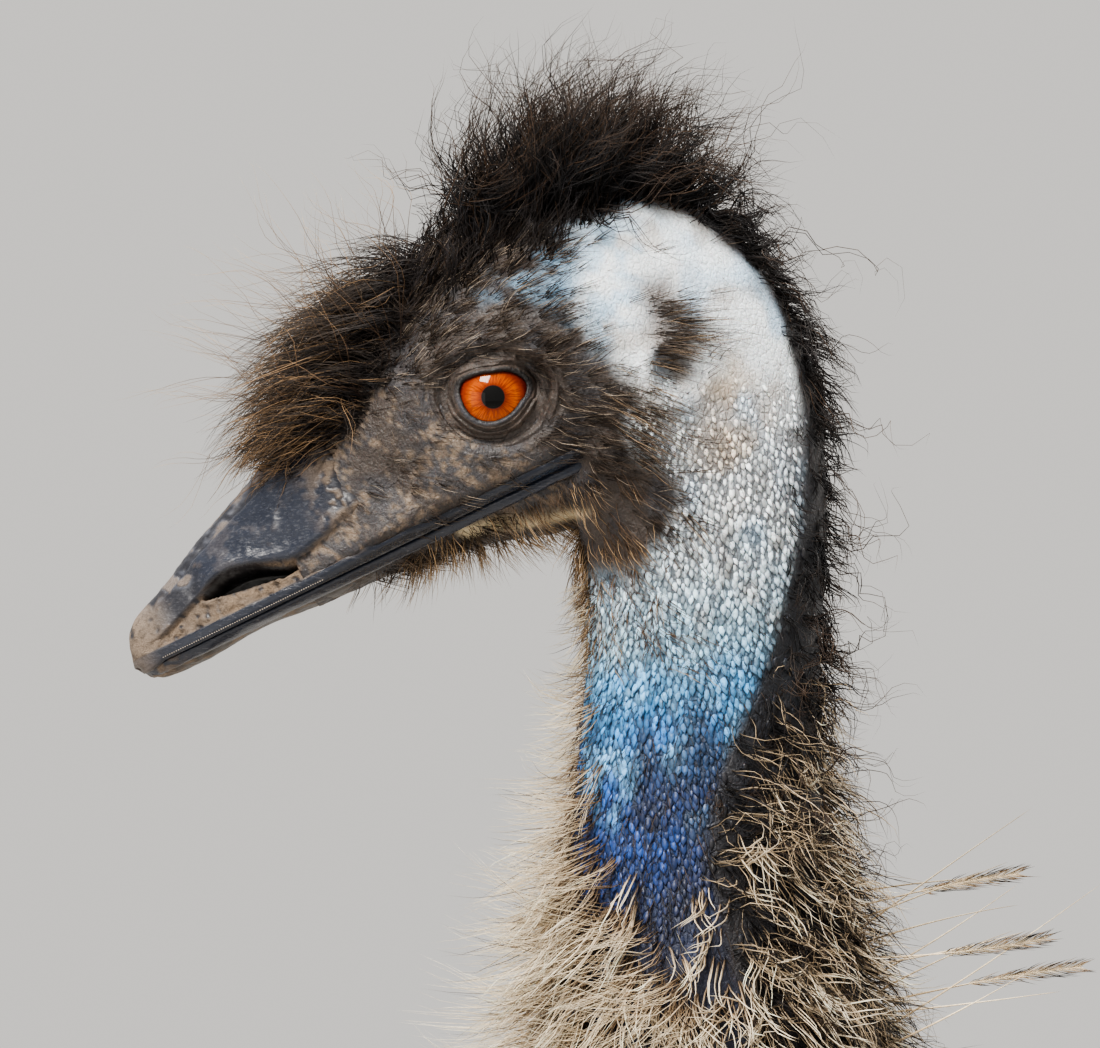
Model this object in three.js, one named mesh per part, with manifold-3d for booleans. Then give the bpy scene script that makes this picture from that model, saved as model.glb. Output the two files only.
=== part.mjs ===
// An adult emu at life size, standing still on both feet with its neck up and its bill dipped.
// Millimetres, +Z up, the bill towards -X and the bird's left side towards -Y.
// The origin is the centre of the model's footprint, on the floor.

import * as THREE from "three";
import { mergeVertices } from "three/addons/utils/BufferGeometryUtils.js";
import Module from "manifold-3d";

const wasm = await Module();
wasm.setup();

// Driving dimensions.
const GAP = 0.3;
const EYE_HEIGHT = 1550;
const EYE_FORWARD = 378;
const BILL_DIP = THREE.MathUtils.degToRad(25.8);
const EYE_ABOVE_MOUTH = 22;
const EYE_RADIUS = 12;
const EYE_OUT = 18.5;
const EYE_OPENING = { along: 8.9, up: 6.6 };
const MOUTH_GAPE = -13.7;
const MOUTH_SLIT = 0.7;
const LEG_SPREAD = 95;
const LEG_X = 45;
const HOCK = { back: 72, up: 415 };
const ANKLE_UP = 46;

// A value that runs smoothly through [place, value] pairs, held level past both ends.
function along(pairs) {
  const slope = (a, b) => (b[1] - a[1]) / (b[0] - a[0]);
  return (at) => {
    if (at <= pairs[0][0]) return pairs[0][1];
    const last = pairs.length - 1;
    if (at >= pairs[last][0]) return pairs[last][1];
    let i = 0;
    while (pairs[i + 1][0] < at) i++;
    const [a, b] = [pairs[i], pairs[i + 1]];
    const before = i ? slope(pairs[i - 1], b) : slope(a, b);
    const after = i + 2 <= last ? slope(a, pairs[i + 2]) : slope(a, b);
    const width = b[0] - a[0];
    const t = (at - a[0]) / width;
    const keep = (1 + 2 * t) * (1 - t) * (1 - t);
    return (
      keep * a[1] +
      (1 - keep) * b[1] +
      width * (t * (1 - t) * (1 - t) * before - t * t * (1 - t) * after)
    );
  };
}

// Makes a three.js geometry a solid, its faces out.
function solid(geometry) {
  const bare = geometry.clone();
  bare.deleteAttribute("normal");
  bare.deleteAttribute("uv");
  const merged = mergeVertices(bare, 1e-3);
  const shape = { numProp: 3, vertProperties: merged.attributes.position.array };
  const faces = new Uint32Array(merged.index.array);
  const made = new wasm.Manifold(new wasm.Mesh({ ...shape, triVerts: faces }));
  if (made.volume() >= 0) return made;
  for (let i = 0; i < faces.length; i += 3) faces.subarray(i, i + 2).reverse();
  return new wasm.Manifold(new wasm.Mesh({ ...shape, triVerts: faces }));
}

// A closed body through rings of points, place(t, angle) with t from 0 to 1.
// Both ends are fanned shut, or the last ring runs on into the first.
function loft(rings, sides, place, endless = false) {
  const points = [];
  for (let i = 0; i < rings; i++) {
    for (let j = 0; j < sides; j++) {
      const t = i / (endless ? rings : rings - 1);
      points.push(place(t, (j / sides) * 2 * Math.PI));
    }
  }
  const centre = (from) => {
    const sum = new THREE.Vector3();
    for (let j = 0; j < sides; j++) sum.add(points[from + j]);
    return sum.divideScalar(sides);
  };
  const faces = [];
  for (let i = 0; i + (endless ? 0 : 1) < rings; i++) {
    const above = ((i + 1) % rings) * sides;
    for (let j = 0; j < sides; j++) {
      const next = (j + 1) % sides;
      const [a, b] = [i * sides + j, i * sides + next];
      faces.push(a, b, above + j, b, above + next, above + j);
    }
  }
  if (!endless) {
    const start = points.push(centre(0)) - 1;
    const last = (rings - 1) * sides;
    const end = points.push(centre(last)) - 1;
    for (let j = 0; j < sides; j++) {
      const next = (j + 1) % sides;
      faces.push(start, next, j, end, last + j, last + next);
    }
  }
  const geometry = new THREE.BufferGeometry().setFromPoints(points);
  geometry.setIndex(faces);
  return solid(geometry);
}

const join = (solids) => wasm.Manifold.union(solids);
const cut = (from, ...tools) => from.subtract(join(tools));

// A cutting plane through a point of the side view (x, z), its front facing along the given direction.
function plane(x, z, facing) {
  const normal = new THREE.Vector3(facing[0], 0, facing[1]).normalize();
  return { normal: normal.toArray(), offset: normal.x * x + normal.z * z };
}
const frontOf = (body, p) => body.trimByPlane(p.normal, p.offset + GAP / 2);
const behind = (body, p) =>
  body.trimByPlane(p.normal.map((n) => -n), -p.offset + GAP / 2);
const depthPast = (p, point) => point.dot(new THREE.Vector3(...p.normal)) - p.offset;
const inFront = (p, point) => depthPast(p, point) > GAP;

// The largest closed surface of a cut or joined body.
function largest(body) {
  const pieces = body.decompose();
  return pieces.reduce((best, next) => (next.volume() > best.volume() ? next : best));
}

// A repeatable run of random numbers from 0 to 1.
function randomRun(seed) {
  let state = seed;
  return () => {
    state = (state + 0x6d2b79f5) | 0;
    let mixed = Math.imul(state ^ (state >>> 15), 1 | state);
    mixed = (mixed + Math.imul(mixed ^ (mixed >>> 7), 61 | mixed)) ^ mixed;
    return ((mixed ^ (mixed >>> 14)) >>> 0) / 4294967296;
  };
}

// A lock's middle line over a surface(t, angle, level), level 0 at the core and 1 at the coat's tips.
// It starts sunk in the core, follows flow(point, out) for the given length and rises to the tips.
// Past the surface's end it runs straight on.
const LOCK_STEPS = 3;
const LOCK_END = 0.95;
function lockLine(surface, start, flow, length, { sunk = -0.7 }) {
  const small = 1e-3;
  const line = [];
  const step = length / LOCK_STEPS;
  let [t, angle] = start;
  let way;
  for (let i = 0; i <= LOCK_STEPS; i++) {
    if (t > LOCK_END) {
      const { point, out } = line.at(-1);
      line.push({ point: point.clone().addScaledVector(way, step), out, way });
      continue;
    }
    const level = sunk + (1 - sunk) * Math.sin((i / LOCK_STEPS) * 0.5 * Math.PI);
    const point = surface(t, angle, level);
    const onward = surface(t + small, angle, level).sub(point).divideScalar(small);
    const round = surface(t, angle + small, level).sub(point).divideScalar(small);
    const out = surface(t, angle, 1).sub(surface(t, angle, 0)).normalize();
    way = flow(point, out).projectOnPlane(out).normalize();
    line.push({ point, out, way });
    const [aa, bb, ab] = [onward.dot(onward), round.dot(round), onward.dot(round)];
    const [a, b] = [way.dot(onward), way.dot(round)];
    const whole = aa * bb - ab * ab;
    t += ((a * bb - b * ab) / whole) * step;
    angle += ((b * aa - a * ab) / whole) * step;
  }
  return line;
}

// A lock along such a line: three faces, a ridge outward, flat below, drawn out to a point.
const lockWidth = along([[0, 0.4], [0.35, 1], [0.7, 0.78], [1, 0.06]]);
const lockDepth = along([[0, 0.8], [0.4, 1], [0.8, 0.6], [1, 0.15]]);
function lock(line, { wide, thick, round, grow = 0 }) {
  const curve = new THREE.CatmullRomCurve3(line.map(({ point }) => point));
  return loft(line.length, 3, (t, angle) => {
    const { point, out, way } = line[Math.round(t * LOCK_STEPS)];
    const side = new THREE.Vector3().crossVectors(way, out).normalize();
    const run = curve.getTangent(t);
    const face = new THREE.Vector3().crossVectors(side, run);
    const across = (Math.sin(angle) / Math.sin((2 / 3) * Math.PI)) * (wide / 2) * lockWidth(t);
    const sag = (across * across) / (2 * round);
    const rise = Math.cos(angle) > 0.5 ? thick * lockDepth(t) + grow : -grow;
    return point
      .clone()
      .addScaledVector(side, across + Math.sign(Math.round(across)) * grow * (1 + wide / thick))
      .addScaledVector(face, rise - sag)
      .addScaledVector(run, (Math.round(t) === t ? 2 * t - 1 : 0) * grow * 3);
  });
}

// Locks from every start place, each as its line and a function that makes it, grown or not.
// A lock whose points leave the bounds is shortened, and left out where too little of it remains.
function locksFrom(starts, { surface, flow, length, inside = () => true, ...rest }, seed) {
  const random = randomRun(seed);
  const vary = (part) => 1 + part * (2 * random() - 1);
  const locks = [];
  for (const [t, angle, share = 1] of starts) {
    let reach = length * share * vary(0.18);
    const sway = 0.2 * (2 * random() - 1);
    const swayed = (point, out) => flow(point, out).applyAxisAngle(out, sway);
    const size = { wide: rest.wide * vary(0.15), thick: rest.thick * vary(0.15) };
    for (; reach > length * 0.3; reach *= 0.82) {
      const line = lockLine(surface, [t, angle], swayed, reach, rest);
      if (line.every(({ point }) => inside(point))) {
        locks.push({ line, make: (grow = 0) => lock(line, { ...rest, ...size, grow }) });
        break;
      }
    }
  }
  return locks;
}
const made = (locks) => locks.map(({ make }) => make());
const clearOf = (locks, near) =>
  locks
    .filter(({ line }) => line.some(({ point }) => near(point)))
    .flatMap(({ make }) => [make(2 * GAP), make()]);

// Head frame: ahead of the eye along the mouth line, to the right, and above the mouth line.
const FORWARD = new THREE.Vector3(-Math.cos(BILL_DIP), 0, -Math.sin(BILL_DIP));
const UP = new THREE.Vector3(-Math.sin(BILL_DIP), 0, Math.cos(BILL_DIP));
const EYE = new THREE.Vector3(-EYE_FORWARD, 0, EYE_HEIGHT);
function inHead(ahead, side, above) {
  return EYE.clone()
    .addScaledVector(FORWARD, ahead)
    .addScaledVector(UP, above - EYE_ABOVE_MOUTH)
    .setY(side);
}

// Head and bill: the crown and chin lines, the half width, and the height where it is widest.
const HEAD_FRONT = 106;
const HEAD_BACK = -78;
const headTop = along([
  [-78, 26], [-72, 33], [-61, 46], [-45, 56], [-22, 62.5], [0, 60], [20, 52], [40, 41.5],
  [49, 36], [60, 30.6], [72, 24.6], [83, 18.9], [95, 12.2], [103, 6.4], [106, 2.8],
]);
const headLow = along([
  [-78, 18], [-72, 10], [-45, -14], [-22, -20], [0, -14], [18, -8.5], [35, -5.8],
  [49, -5], [72, -4.6], [95, -4.8], [103, -3.4], [106, 1],
]);
const headWide = along([
  [-78, 4], [-72, 14], [-61, 23], [-45, 28], [-22, 30], [0, 29.5], [20, 25.5], [40, 21],
  [49, 19], [60, 16.8], [72, 14.8], [83, 12.8], [95, 9.8], [103, 6.4], [106, 2],
]);
const headWidestAt = along([
  [-78, 22], [-45, 22], [0, 19], [20, 13], [40, 5], [55, 1.5], [103, 0.5], [106, 1.8],
]);
const headPinch = along([[-20, 0], [30, 0.06], [60, 0.16], [106, 0.1]]);

function headSection(ahead, angle, grow = 0) {
  const [across, rise] = [Math.cos(angle), Math.sin(angle)];
  const middle = headWidestAt(ahead);
  const reach = rise > 0 ? headTop(ahead) - middle : middle - headLow(ahead);
  const side = (headWide(ahead) + grow) * across * (1 - headPinch(ahead) * Math.max(0, rise));
  return inHead(ahead, side, middle + (reach + grow) * rise);
}

function headForm(grow = 0) {
  return loft(27, 20, (t, angle) => {
    const eased = 0.5 - 0.5 * Math.cos(Math.PI * t);
    const spread = 0.45 * eased + 0.55 * t;
    return headSection(HEAD_BACK + (HEAD_FRONT - HEAD_BACK) * spread, angle, grow);
  });
}

// Neck: the middle line, half depth and half width against the drop below the eye.
const neckX = along([
  [-48, 32], [-35, 38], [-16, 45], [5, 49], [20, 51], [45, 50.7], [84, 49.6], [120, 51], [155, 54],
  [250, 62], [350, 84], [450, 120], [520, 148], [580, 172],
]);
const neckDepth = along([
  [-48, 16], [-35, 25], [-16, 30], [5, 31], [20, 30.5], [45, 29], [84, 29], [120, 33], [155, 39],
  [250, 50], [350, 66], [450, 98], [520, 128], [580, 144],
]);
const neckWide = along([
  [-48, 15], [-35, 21], [-16, 26], [5, 27.5], [20, 27], [45, 25.5], [84, 26], [120, 31], [155, 37],
  [250, 48], [350, 62], [450, 90], [520, 118], [580, 128],
]);
const neckCoat = along([[40, 0], [84, 1.5], [112, 6], [155, 12], [250, 20], [350, 26], [520, 30]]);
const NECK_TOP = -48;
const NECK_FOOT = 580;

// A point of the neck: t from top to foot, angle 0 in front, level 0 at the core and 1 at the tips.
function neckPoint(t, angle, level) {
  const drop = NECK_TOP + (NECK_FOOT - NECK_TOP) * t;
  const out = neckCoat(drop) * (0.5 + 0.5 * level);
  return new THREE.Vector3(
    EYE.x + neckX(drop) - (neckDepth(drop) + out) * Math.cos(angle),
    (neckWide(drop) + out) * Math.sin(angle),
    EYE.z - drop,
  );
}

const neckForm = () => loft(17, 16, (t, angle) => neckPoint(t ** 1.4, angle, 0));

// Trunk, from breast to tail tip: stations of its middle line, with half height and half width out
// to the tips of the coat, and how deep the coat is on the back, side and belly.
const TRUNK = [
  { x: -390, z: 985, tall: 30, wide: 34 },
  { x: -356, z: 980, tall: 92, wide: 92 },
  { x: -270, z: 958, tall: 142, wide: 150 },
  { x: -150, z: 930, tall: 184, wide: 194 },
  { x: 0, z: 896, tall: 206, wide: 219 },
  { x: 130, z: 874, tall: 200, wide: 214 },
  { x: 240, z: 852, tall: 178, wide: 192 },
  { x: 330, z: 812, tall: 148, wide: 162 },
  { x: 402, z: 752, tall: 114, wide: 128 },
  { x: 450, z: 690, tall: 76, wide: 88 },
  { x: 474, z: 636, tall: 18, wide: 24 },
];
const trunkBy = (name) => along(TRUNK.map((station, i) => [i / (TRUNK.length - 1), station[name]]));
const [trunkX, trunkZ, trunkTall, trunkWide] = ["x", "z", "tall", "wide"].map(trunkBy);
const PLUMAGE = { back: 26, side: 42, belly: 54, tail: 60 };

// A point of the trunk: t from breast to tail tip, angle 0 at one side and a quarter turn at the back.
function trunkPoint(t, angle, level, grow = 0) {
  const small = 0.01;
  const [before, after] = [Math.max(0, t - small), Math.min(1, t + small)];
  const run = new THREE.Vector2(trunkX(after) - trunkX(before), trunkZ(after) - trunkZ(before));
  run.normalize();
  const [across, rise] = [Math.cos(angle), Math.sin(angle)];
  const upright = rise * rise;
  const body = PLUMAGE.side * (1 - upright) + (rise > 0 ? PLUMAGE.back : PLUMAGE.belly) * upright;
  const toTail = THREE.MathUtils.smoothstep(t, 0.6, 0.85);
  const coat = Math.min(body + (PLUMAGE.tail - body) * toTail, 0.75 * trunkTall(t));
  const inward = (coat / 2) * (1 - level) - grow;
  const up = (trunkTall(t) - inward) * rise;
  return new THREE.Vector3(
    trunkX(t) - run.y * up,
    (trunkWide(t) - inward) * across,
    trunkZ(t) + run.x * up,
  );
}

const trunkForm = (grow = 0) => loft(14, 16, (t, angle) => trunkPoint(t, angle, 0, grow));

// Legs: the middle line and half sizes of thigh and shank against height.
const legX = along([
  [ANKLE_UP - 14, 0], [ANKLE_UP + 60, 10], [HOCK.up, HOCK.back], [560, 38], [680, 10], [860, -24],
]);
const legDepth = along([
  [30, 17], [60, 18], [100, 16], [220, 15.5], [350, 17], [385, 23], [415, 27], [445, 23],
  [490, 20], [545, 24], [580, 34], [640, 54], [720, 78], [800, 92], [880, 84],
]);
const legWide = along([
  [30, 20], [60, 17], [100, 13.5], [220, 12.5], [350, 15], [385, 20], [415, 22], [445, 19],
  [490, 17], [545, 20], [580, 29], [640, 42], [720, 56], [800, 66], [880, 60],
]);
const THIGH_FOOT = 548;
const SHANK_FOOT = 34;
const SCUTE = { count: 12, rise: 1.3, from: 62, to: 372 };

function legSection(side, z, angle, proud = 0) {
  const front = Math.max(0, Math.cos(angle)) ** 0.5;
  return new THREE.Vector3(
    LEG_X + legX(z) - (legDepth(z) + proud * front) * Math.cos(angle),
    side * LEG_SPREAD + (legWide(z) + proud * front) * Math.sin(angle),
    z,
  );
}

const THIGH_TOP = 790;
const THIGH_COAT = { core: 3, tips: 14 };
const thighPoint = (side) => (t, angle, level, grow = 0) => {
  const z = THIGH_TOP + (THIGH_FOOT - THIGH_TOP) * t;
  const centre = new THREE.Vector3(LEG_X + legX(z), side * LEG_SPREAD, z);
  const out = legSection(side, z, angle).sub(centre);
  const coat = THIGH_COAT.core + (THIGH_COAT.tips - THIGH_COAT.core) * level + grow;
  return centre.addScaledVector(out, 1 + coat / out.length());
};
const thighForm = (side, grow = 0) =>
  loft(8, 12, (t, angle) => thighPoint(side)(t, angle, 0, grow));

// The shank, from the foot to the bare lower drumstick, with scutes stepped down its front.
function shankForm(side) {
  const levels = [[SHANK_FOOT, 0], [48, 0]];
  const pitch = (SCUTE.to - SCUTE.from) / SCUTE.count;
  for (let i = 0; i < SCUTE.count; i++) {
    levels.push([SCUTE.from + i * pitch, SCUTE.rise], [SCUTE.from + (i + 0.86) * pitch, 0]);
  }
  levels.push([388, 0], [402, 0], [416, 0], [432, 0], [448, 0], [475, 0], [510, 0]);
  levels.push([THIGH_FOOT - GAP, 0]);
  return loft(levels.length, 9, (t, angle) => {
    const [z, proud] = levels[Math.round(t * (levels.length - 1))];
    return legSection(side, z, angle, proud);
  });
}

// Feet: three toes forward, each padded below with a flat sole.
const TOES = [
  { name: "inner", turn: 27, length: 96, wide: 13.5, tall: 24 },
  { name: "middle", turn: 0, length: 140, wide: 17, tall: 28 },
  { name: "outer", turn: -27, length: 100, wide: 13.5, tall: 24 },
];
const CLAW = { length: 27, wide: 7, tall: 11 };
const KNUCKLES = 4;

// A point of a toe: run from the ankle, across and up, turned about the ankle.
function onToe(side, toe, run, across, up) {
  const turn = THREE.MathUtils.degToRad(toe.turn) * side;
  return new THREE.Vector3(
    LEG_X - run * Math.cos(turn) - across * Math.sin(turn),
    side * LEG_SPREAD - run * Math.sin(turn) + across * Math.cos(turn),
    up,
  );
}

function toeForm(side, toe, grow = 0) {
  return loft(10, 8, (t, angle) => {
    const run = -18 + (toe.length + 18) * t;
    const end = Math.sqrt(Math.max(0.06, 1 - Math.max(0, (t - 0.88) / 0.12) ** 2));
    const heel = Math.sqrt(Math.max(0.3, 1 - Math.max(0, (0.1 - t) / 0.1) ** 2));
    const knuckle = 1 + 0.07 * Math.cos(t * KNUCKLES * 2 * Math.PI);
    const size = (1 - 0.3 * t) * end * heel * knuckle;
    const across = (toe.wide * size + grow) * Math.cos(angle);
    const up = toe.tall * size * (0.42 + 0.62 * Math.sin(angle)) + grow * Math.sin(angle);
    return onToe(side, toe, run, across, Math.max(0, up));
  });
}

const footForm = (side) =>
  join([
    ...TOES.map((toe) => toeForm(side, toe)),
    loft(5, 12, (t, angle) => {
      const size = Math.sqrt(1 - (t * 0.75) ** 2);
      return new THREE.Vector3(
        LEG_X - 6 + 27 * size * Math.cos(angle),
        side * LEG_SPREAD + 25 * size * Math.sin(angle),
        ANKLE_UP * t,
      );
    }),
  ]);

function clawForm(side, toe) {
  const droop = (t) => toe.tall * 0.34 * (1 - t * t) + 2.2;
  return loft(6, 5, (t, angle) => {
    const size = Math.max(0.05, 1 - t ** 1.6);
    const run = toe.length - 9 + (CLAW.length + 9) * t;
    const across = CLAW.wide * size * Math.cos(angle);
    return onToe(side, toe, run, across, droop(t) + (CLAW.tall / 2) * size * Math.sin(angle));
  });
}

// A few locks that spread from one foot: place(reach, turn, rise) gives a point, the way out from
// the body and the way along the lock.
function fan(place, { count, spread, length, lift, ...shape }) {
  const turns = Array.from({ length: count }, (_, i) => (i / (count - 1) - 0.5) * spread);
  return turns.map((turn) => {
    const line = Array.from({ length: LOCK_STEPS + 1 }, (_, k) => {
      const share = k / LOCK_STEPS;
      return place(share * length * (1 - 0.25 * Math.abs(turn)), turn, lift * Math.sin(share * 2.2));
    });
    return lock(line, shape);
  });
}

// Wings: small and limp, lying back along the flanks of the breast, each ending in a few long locks.
const WING = { from: [-265, 1006], to: [-130, 930], deep: 13, tall: 30, sunk: 9 };
const WING_LOCKS = { count: 3, spread: 0.7, length: 96, lift: 7, wide: 26, thick: 8, round: 170 };
const WING_DROOP = Math.atan2(WING.to[1] - WING.from[1], WING.to[0] - WING.from[0]);

// How far out the trunk's core stands at a place of the side view.
function trunkSide(x, z) {
  let t = 0.5;
  for (let i = 0; i < 6; i++) t += (x - trunkX(t)) / 900;
  const rise = (z - trunkZ(t)) / (trunkTall(t) - PLUMAGE.side / 2);
  return (trunkWide(t) - PLUMAGE.side / 2) * Math.sqrt(Math.max(0.05, 1 - rise ** 2));
}

function wingForm(side, grow = 0) {
  const blade = loft(7, 7, (t, angle) => {
    const [x, z] = WING.from.map((from, i) => from + (WING.to[i] - from) * t);
    const size = Math.sqrt(Math.max(0.02, Math.sin(Math.PI * (0.06 + 0.9 * t)))) * (1 - 0.4 * t);
    const out = WING.deep - WING.sunk + (WING.deep * size + grow) * Math.cos(angle);
    const rise = (WING.tall * size + grow) * Math.sin(angle);
    return new THREE.Vector3(x, side * (trunkSide(x, z) + out), z + rise);
  });
  const place = (reach, turn, rise) => {
    const x = WING.to[0] - 18 + reach * Math.cos(WING_DROOP + turn);
    const z = WING.to[1] + 8 + reach * Math.sin(WING_DROOP + turn);
    const point = new THREE.Vector3(x, side * (trunkSide(x, z) + 3 + rise), z);
    const way = new THREE.Vector3(Math.cos(WING_DROOP + turn), 0, Math.sin(WING_DROOP + turn));
    return { point, out: new THREE.Vector3(0, side, 0), way };
  };
  return join([blade, ...fan(place, { ...WING_LOCKS, grow })]);
}

// Eyes and what shapes the face.
const eyeAt = (side) => inHead(0, side * EYE_OUT, EYE_ABOVE_MOUTH);
function ball(radius, at, stretch = [1, 1, 1], turn = 0, fine = 16) {
  const geometry = new THREE.SphereGeometry(radius, fine, Math.round(fine * 0.6));
  geometry.scale(...stretch);
  geometry.rotateY(turn);
  geometry.translate(at.x, at.y, at.z);
  return solid(geometry);
}

function lidRing(side) {
  return loft(20, 5, (t, angle) => {
    const round = t * 2 * Math.PI;
    const [across, rise] = [Math.cos(round), Math.sin(round)];
    const thick = 2.1;
    const wide = EYE_OPENING.along + 0.8 + thick * Math.cos(angle);
    const tall = EYE_OPENING.up + 0.8 + thick * Math.cos(angle);
    const out = EYE_OUT + 8.6 - 2.2 * across * across + thick * Math.sin(angle);
    return inHead(wide * across, side * out, EYE_ABOVE_MOUTH + tall * rise);
  }, true);
}

function eyeHole(side) {
  return loft(2, 24, (t, angle) =>
    inHead(
      EYE_OPENING.along * Math.cos(angle),
      side * (EYE_OUT + 3 + 20 * t),
      EYE_ABOVE_MOUTH + EYE_OPENING.up * Math.sin(angle),
    ),
  );
}

// A slab across the whole head with the given outline of [ahead, above] points.
function acrossHead(outline) {
  const shape = new THREE.Shape(outline.map(([ahead, above]) => new THREE.Vector2(ahead, above)));
  const slab = new THREE.ExtrudeGeometry(shape, { depth: 90, bevelEnabled: false });
  slab.applyMatrix4(new THREE.Matrix4().makeBasis(FORWARD, UP, new THREE.Vector3(0, 1, 0)));
  const origin = inHead(0, -45, 0);
  slab.translate(origin.x, origin.y, origin.z);
  return solid(slab);
}

// The line of the mouth, arched a little, as points from one place ahead of the eye to another.
const mouthArch = along([[-14, 1.5], [6, 2.4], [27, 3], [49, 2.9], [68, 1.6], [87, 0.4], [108, -0.6]]);
const MOUTH_END = 112;
function mouthLine(from, lift) {
  const steps = 10;
  const places = Array.from({ length: steps + 1 }, (_, i) => from + (i / steps) * (MOUTH_END - from));
  return places.map((ahead) => [ahead, mouthArch(ahead) + lift]);
}
function mouthSlit() {
  const [above, below] = [1, -1].map((way) => mouthLine(MOUTH_GAPE, (way * MOUTH_SLIT) / 2));
  return acrossHead([...above, ...below.reverse()]);
}

// The horny bill's back edges slant up from the mouth and down from it.
const BILL_EDGE = { foot: 18, top: [64, 40] };
const JAW_EDGE = { foot: 16, low: [38, -14] };
const upperBillRoom = (grow = 0) =>
  acrossHead([
    ...mouthLine(BILL_EDGE.foot - grow, 0),
    [MOUTH_END, 60],
    [BILL_EDGE.top[0] - grow, 60],
    [BILL_EDGE.top[0] - grow, BILL_EDGE.top[1]],
  ]);
const lowerBillRoom = (grow = 0) =>
  acrossHead([
    ...mouthLine(JAW_EDGE.foot - grow, 0),
    [MOUTH_END, -30],
    [JAW_EDGE.low[0] - grow, -30],
    [JAW_EDGE.low[0] - grow, JAW_EDGE.low[1]],
  ]);

const NOSTRIL = { ahead: 73, above: 7.8, half: 11.5, tall: 2.3, deep: 4.5 };
const nostril = (side) =>
  ball(
    1,
    inHead(NOSTRIL.ahead, side * (headWide(NOSTRIL.ahead) - 1.2), NOSTRIL.above),
    [NOSTRIL.half, NOSTRIL.deep, NOSTRIL.tall],
    0.15 - BILL_DIP,
    12,
  );

// Ears: a shallow cup behind each cheek, filled by the foot of a tuft that lies back over the nape.
const EAR = { ahead: -44, above: 12, radius: 8, foot: 5 };
const earAt = (side, out = 0) => inHead(EAR.ahead, side * (headWide(EAR.ahead) + out), EAR.above);
const earCup = (side) => ball(EAR.radius, earAt(side, 2), [1, 0.6, 0.9], 0, 10);
const EAR_TUFT = { count: 3, spread: 1.5, length: 24, lift: 6, wide: 8, thick: 2.2, round: 40 };
function earForm(side) {
  const place = (reach, turn, rise) => {
    const [ahead, above] = [EAR.ahead - reach * Math.cos(turn), EAR.above + reach * Math.sin(turn)];
    const point = inHead(ahead, side * (headWide(EAR.ahead) + 1.2 + rise), above);
    const way = FORWARD.clone().multiplyScalar(-Math.cos(turn)).addScaledVector(UP, Math.sin(turn));
    return { point, out: new THREE.Vector3(0, side, 0), way };
  };
  const foot = ball(EAR.foot, earAt(side, 1), [1, 0.7, 1], 0, 8);
  return join([...fan(place, EAR_TUFT), foot]);
}

// The locks of the head: a crest that stands over the crown, and a brow over the bill's base.
// A point of the head out to their tips: t from front to back, angle a quarter turn at the crown.
const crestHigh = along([[-72, 12], [-45, 28], [-20, 36], [0, 38], [20, 33], [38, 20], [54, 9], [90, 4]]);
const headAhead = (t) => HEAD_FRONT + (HEAD_BACK - HEAD_FRONT) * t;
function headPoint(t, angle, level) {
  const skin = headSection(headAhead(t), angle);
  const out = headSection(headAhead(t), angle, 1).sub(skin).addScaledVector(UP, 0.7).normalize();
  return skin.addScaledVector(out, crestHigh(headAhead(t)) * level);
}
const toCrest = (ahead) => (ahead - HEAD_FRONT) / (HEAD_BACK - HEAD_FRONT);
const CREST = { length: 30, wide: 11, thick: 3.4, round: 40, sunk: -0.2 };
const crestStarts = [34, 19, 4, -11, -26, -41, -56].flatMap((ahead, row) =>
  (row % 2 ? [-26, 26] : [-48, 0, 48]).map((turn) => [
    toCrest(ahead),
    THREE.MathUtils.degToRad(90 + turn),
    turn ? 0.85 : 1,
  ]),
);
const BROW = { length: 34, wide: 8, thick: 3, round: 30, sunk: -0.5 };
const browStarts = [[44, 0], [38, -40], [38, 40], [32, -72], [32, 72]].map(([ahead, turn]) => [
  toCrest(ahead),
  THREE.MathUtils.degToRad(90 + turn),
]);
const backFlow = () => FORWARD.clone().negate();
const downBill = () => FORWARD.clone().addScaledVector(UP, -0.4);

// The mane down the nape. A point of the neck out to the mane's tips.
const maneOut = along([[0, 10], [84, 12], [155, 16], [300, 20]]);
const MANE = { length: 26, wide: 13, thick: 5, round: 30, sunk: -0.6 };
const neckTurn = (drop) => (drop - NECK_TOP) / (NECK_FOOT - NECK_TOP);
function manePoint(t, angle, level) {
  const drop = NECK_TOP + (NECK_FOOT - NECK_TOP) * t;
  const base = neckPoint(t, angle, 0);
  const middle = new THREE.Vector3(EYE.x + neckX(drop), 0, base.z);
  const out = base.clone().sub(middle).normalize();
  return base.addScaledVector(out, maneOut(drop) * level);
}
const down = () => new THREE.Vector3(0, 0, -1);

// Planes between head, neck, breast and tail.
const headCut = plane(EYE.x + 52, EYE.z - 12, [-0.68, 0.73]);
const collarCut = plane(EYE.x, EYE.z - 112, [0, 1]);
const breastCut = plane(EYE.x + 110, EYE.z - 436, [-0.25, 1]);
const rumpCut = plane(296, 830, [1, -0.45]);

// Joins the forms, parts them with the cuts and gives each part its colour.
const bird = new THREE.Group();
function add(name, body, color, roughness) {
  const mesh = largest(body).getMesh();
  const geometry = new THREE.BufferGeometry();
  geometry.setAttribute("position", new THREE.BufferAttribute(mesh.vertProperties, 3));
  geometry.setIndex(new THREE.BufferAttribute(mesh.triVerts, 1));
  const material = new THREE.MeshStandardMaterial({ color, roughness, metalness: 0 });
  const part = new THREE.Mesh(geometry, material);
  part.name = name;
  bird.add(part);
}

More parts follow.
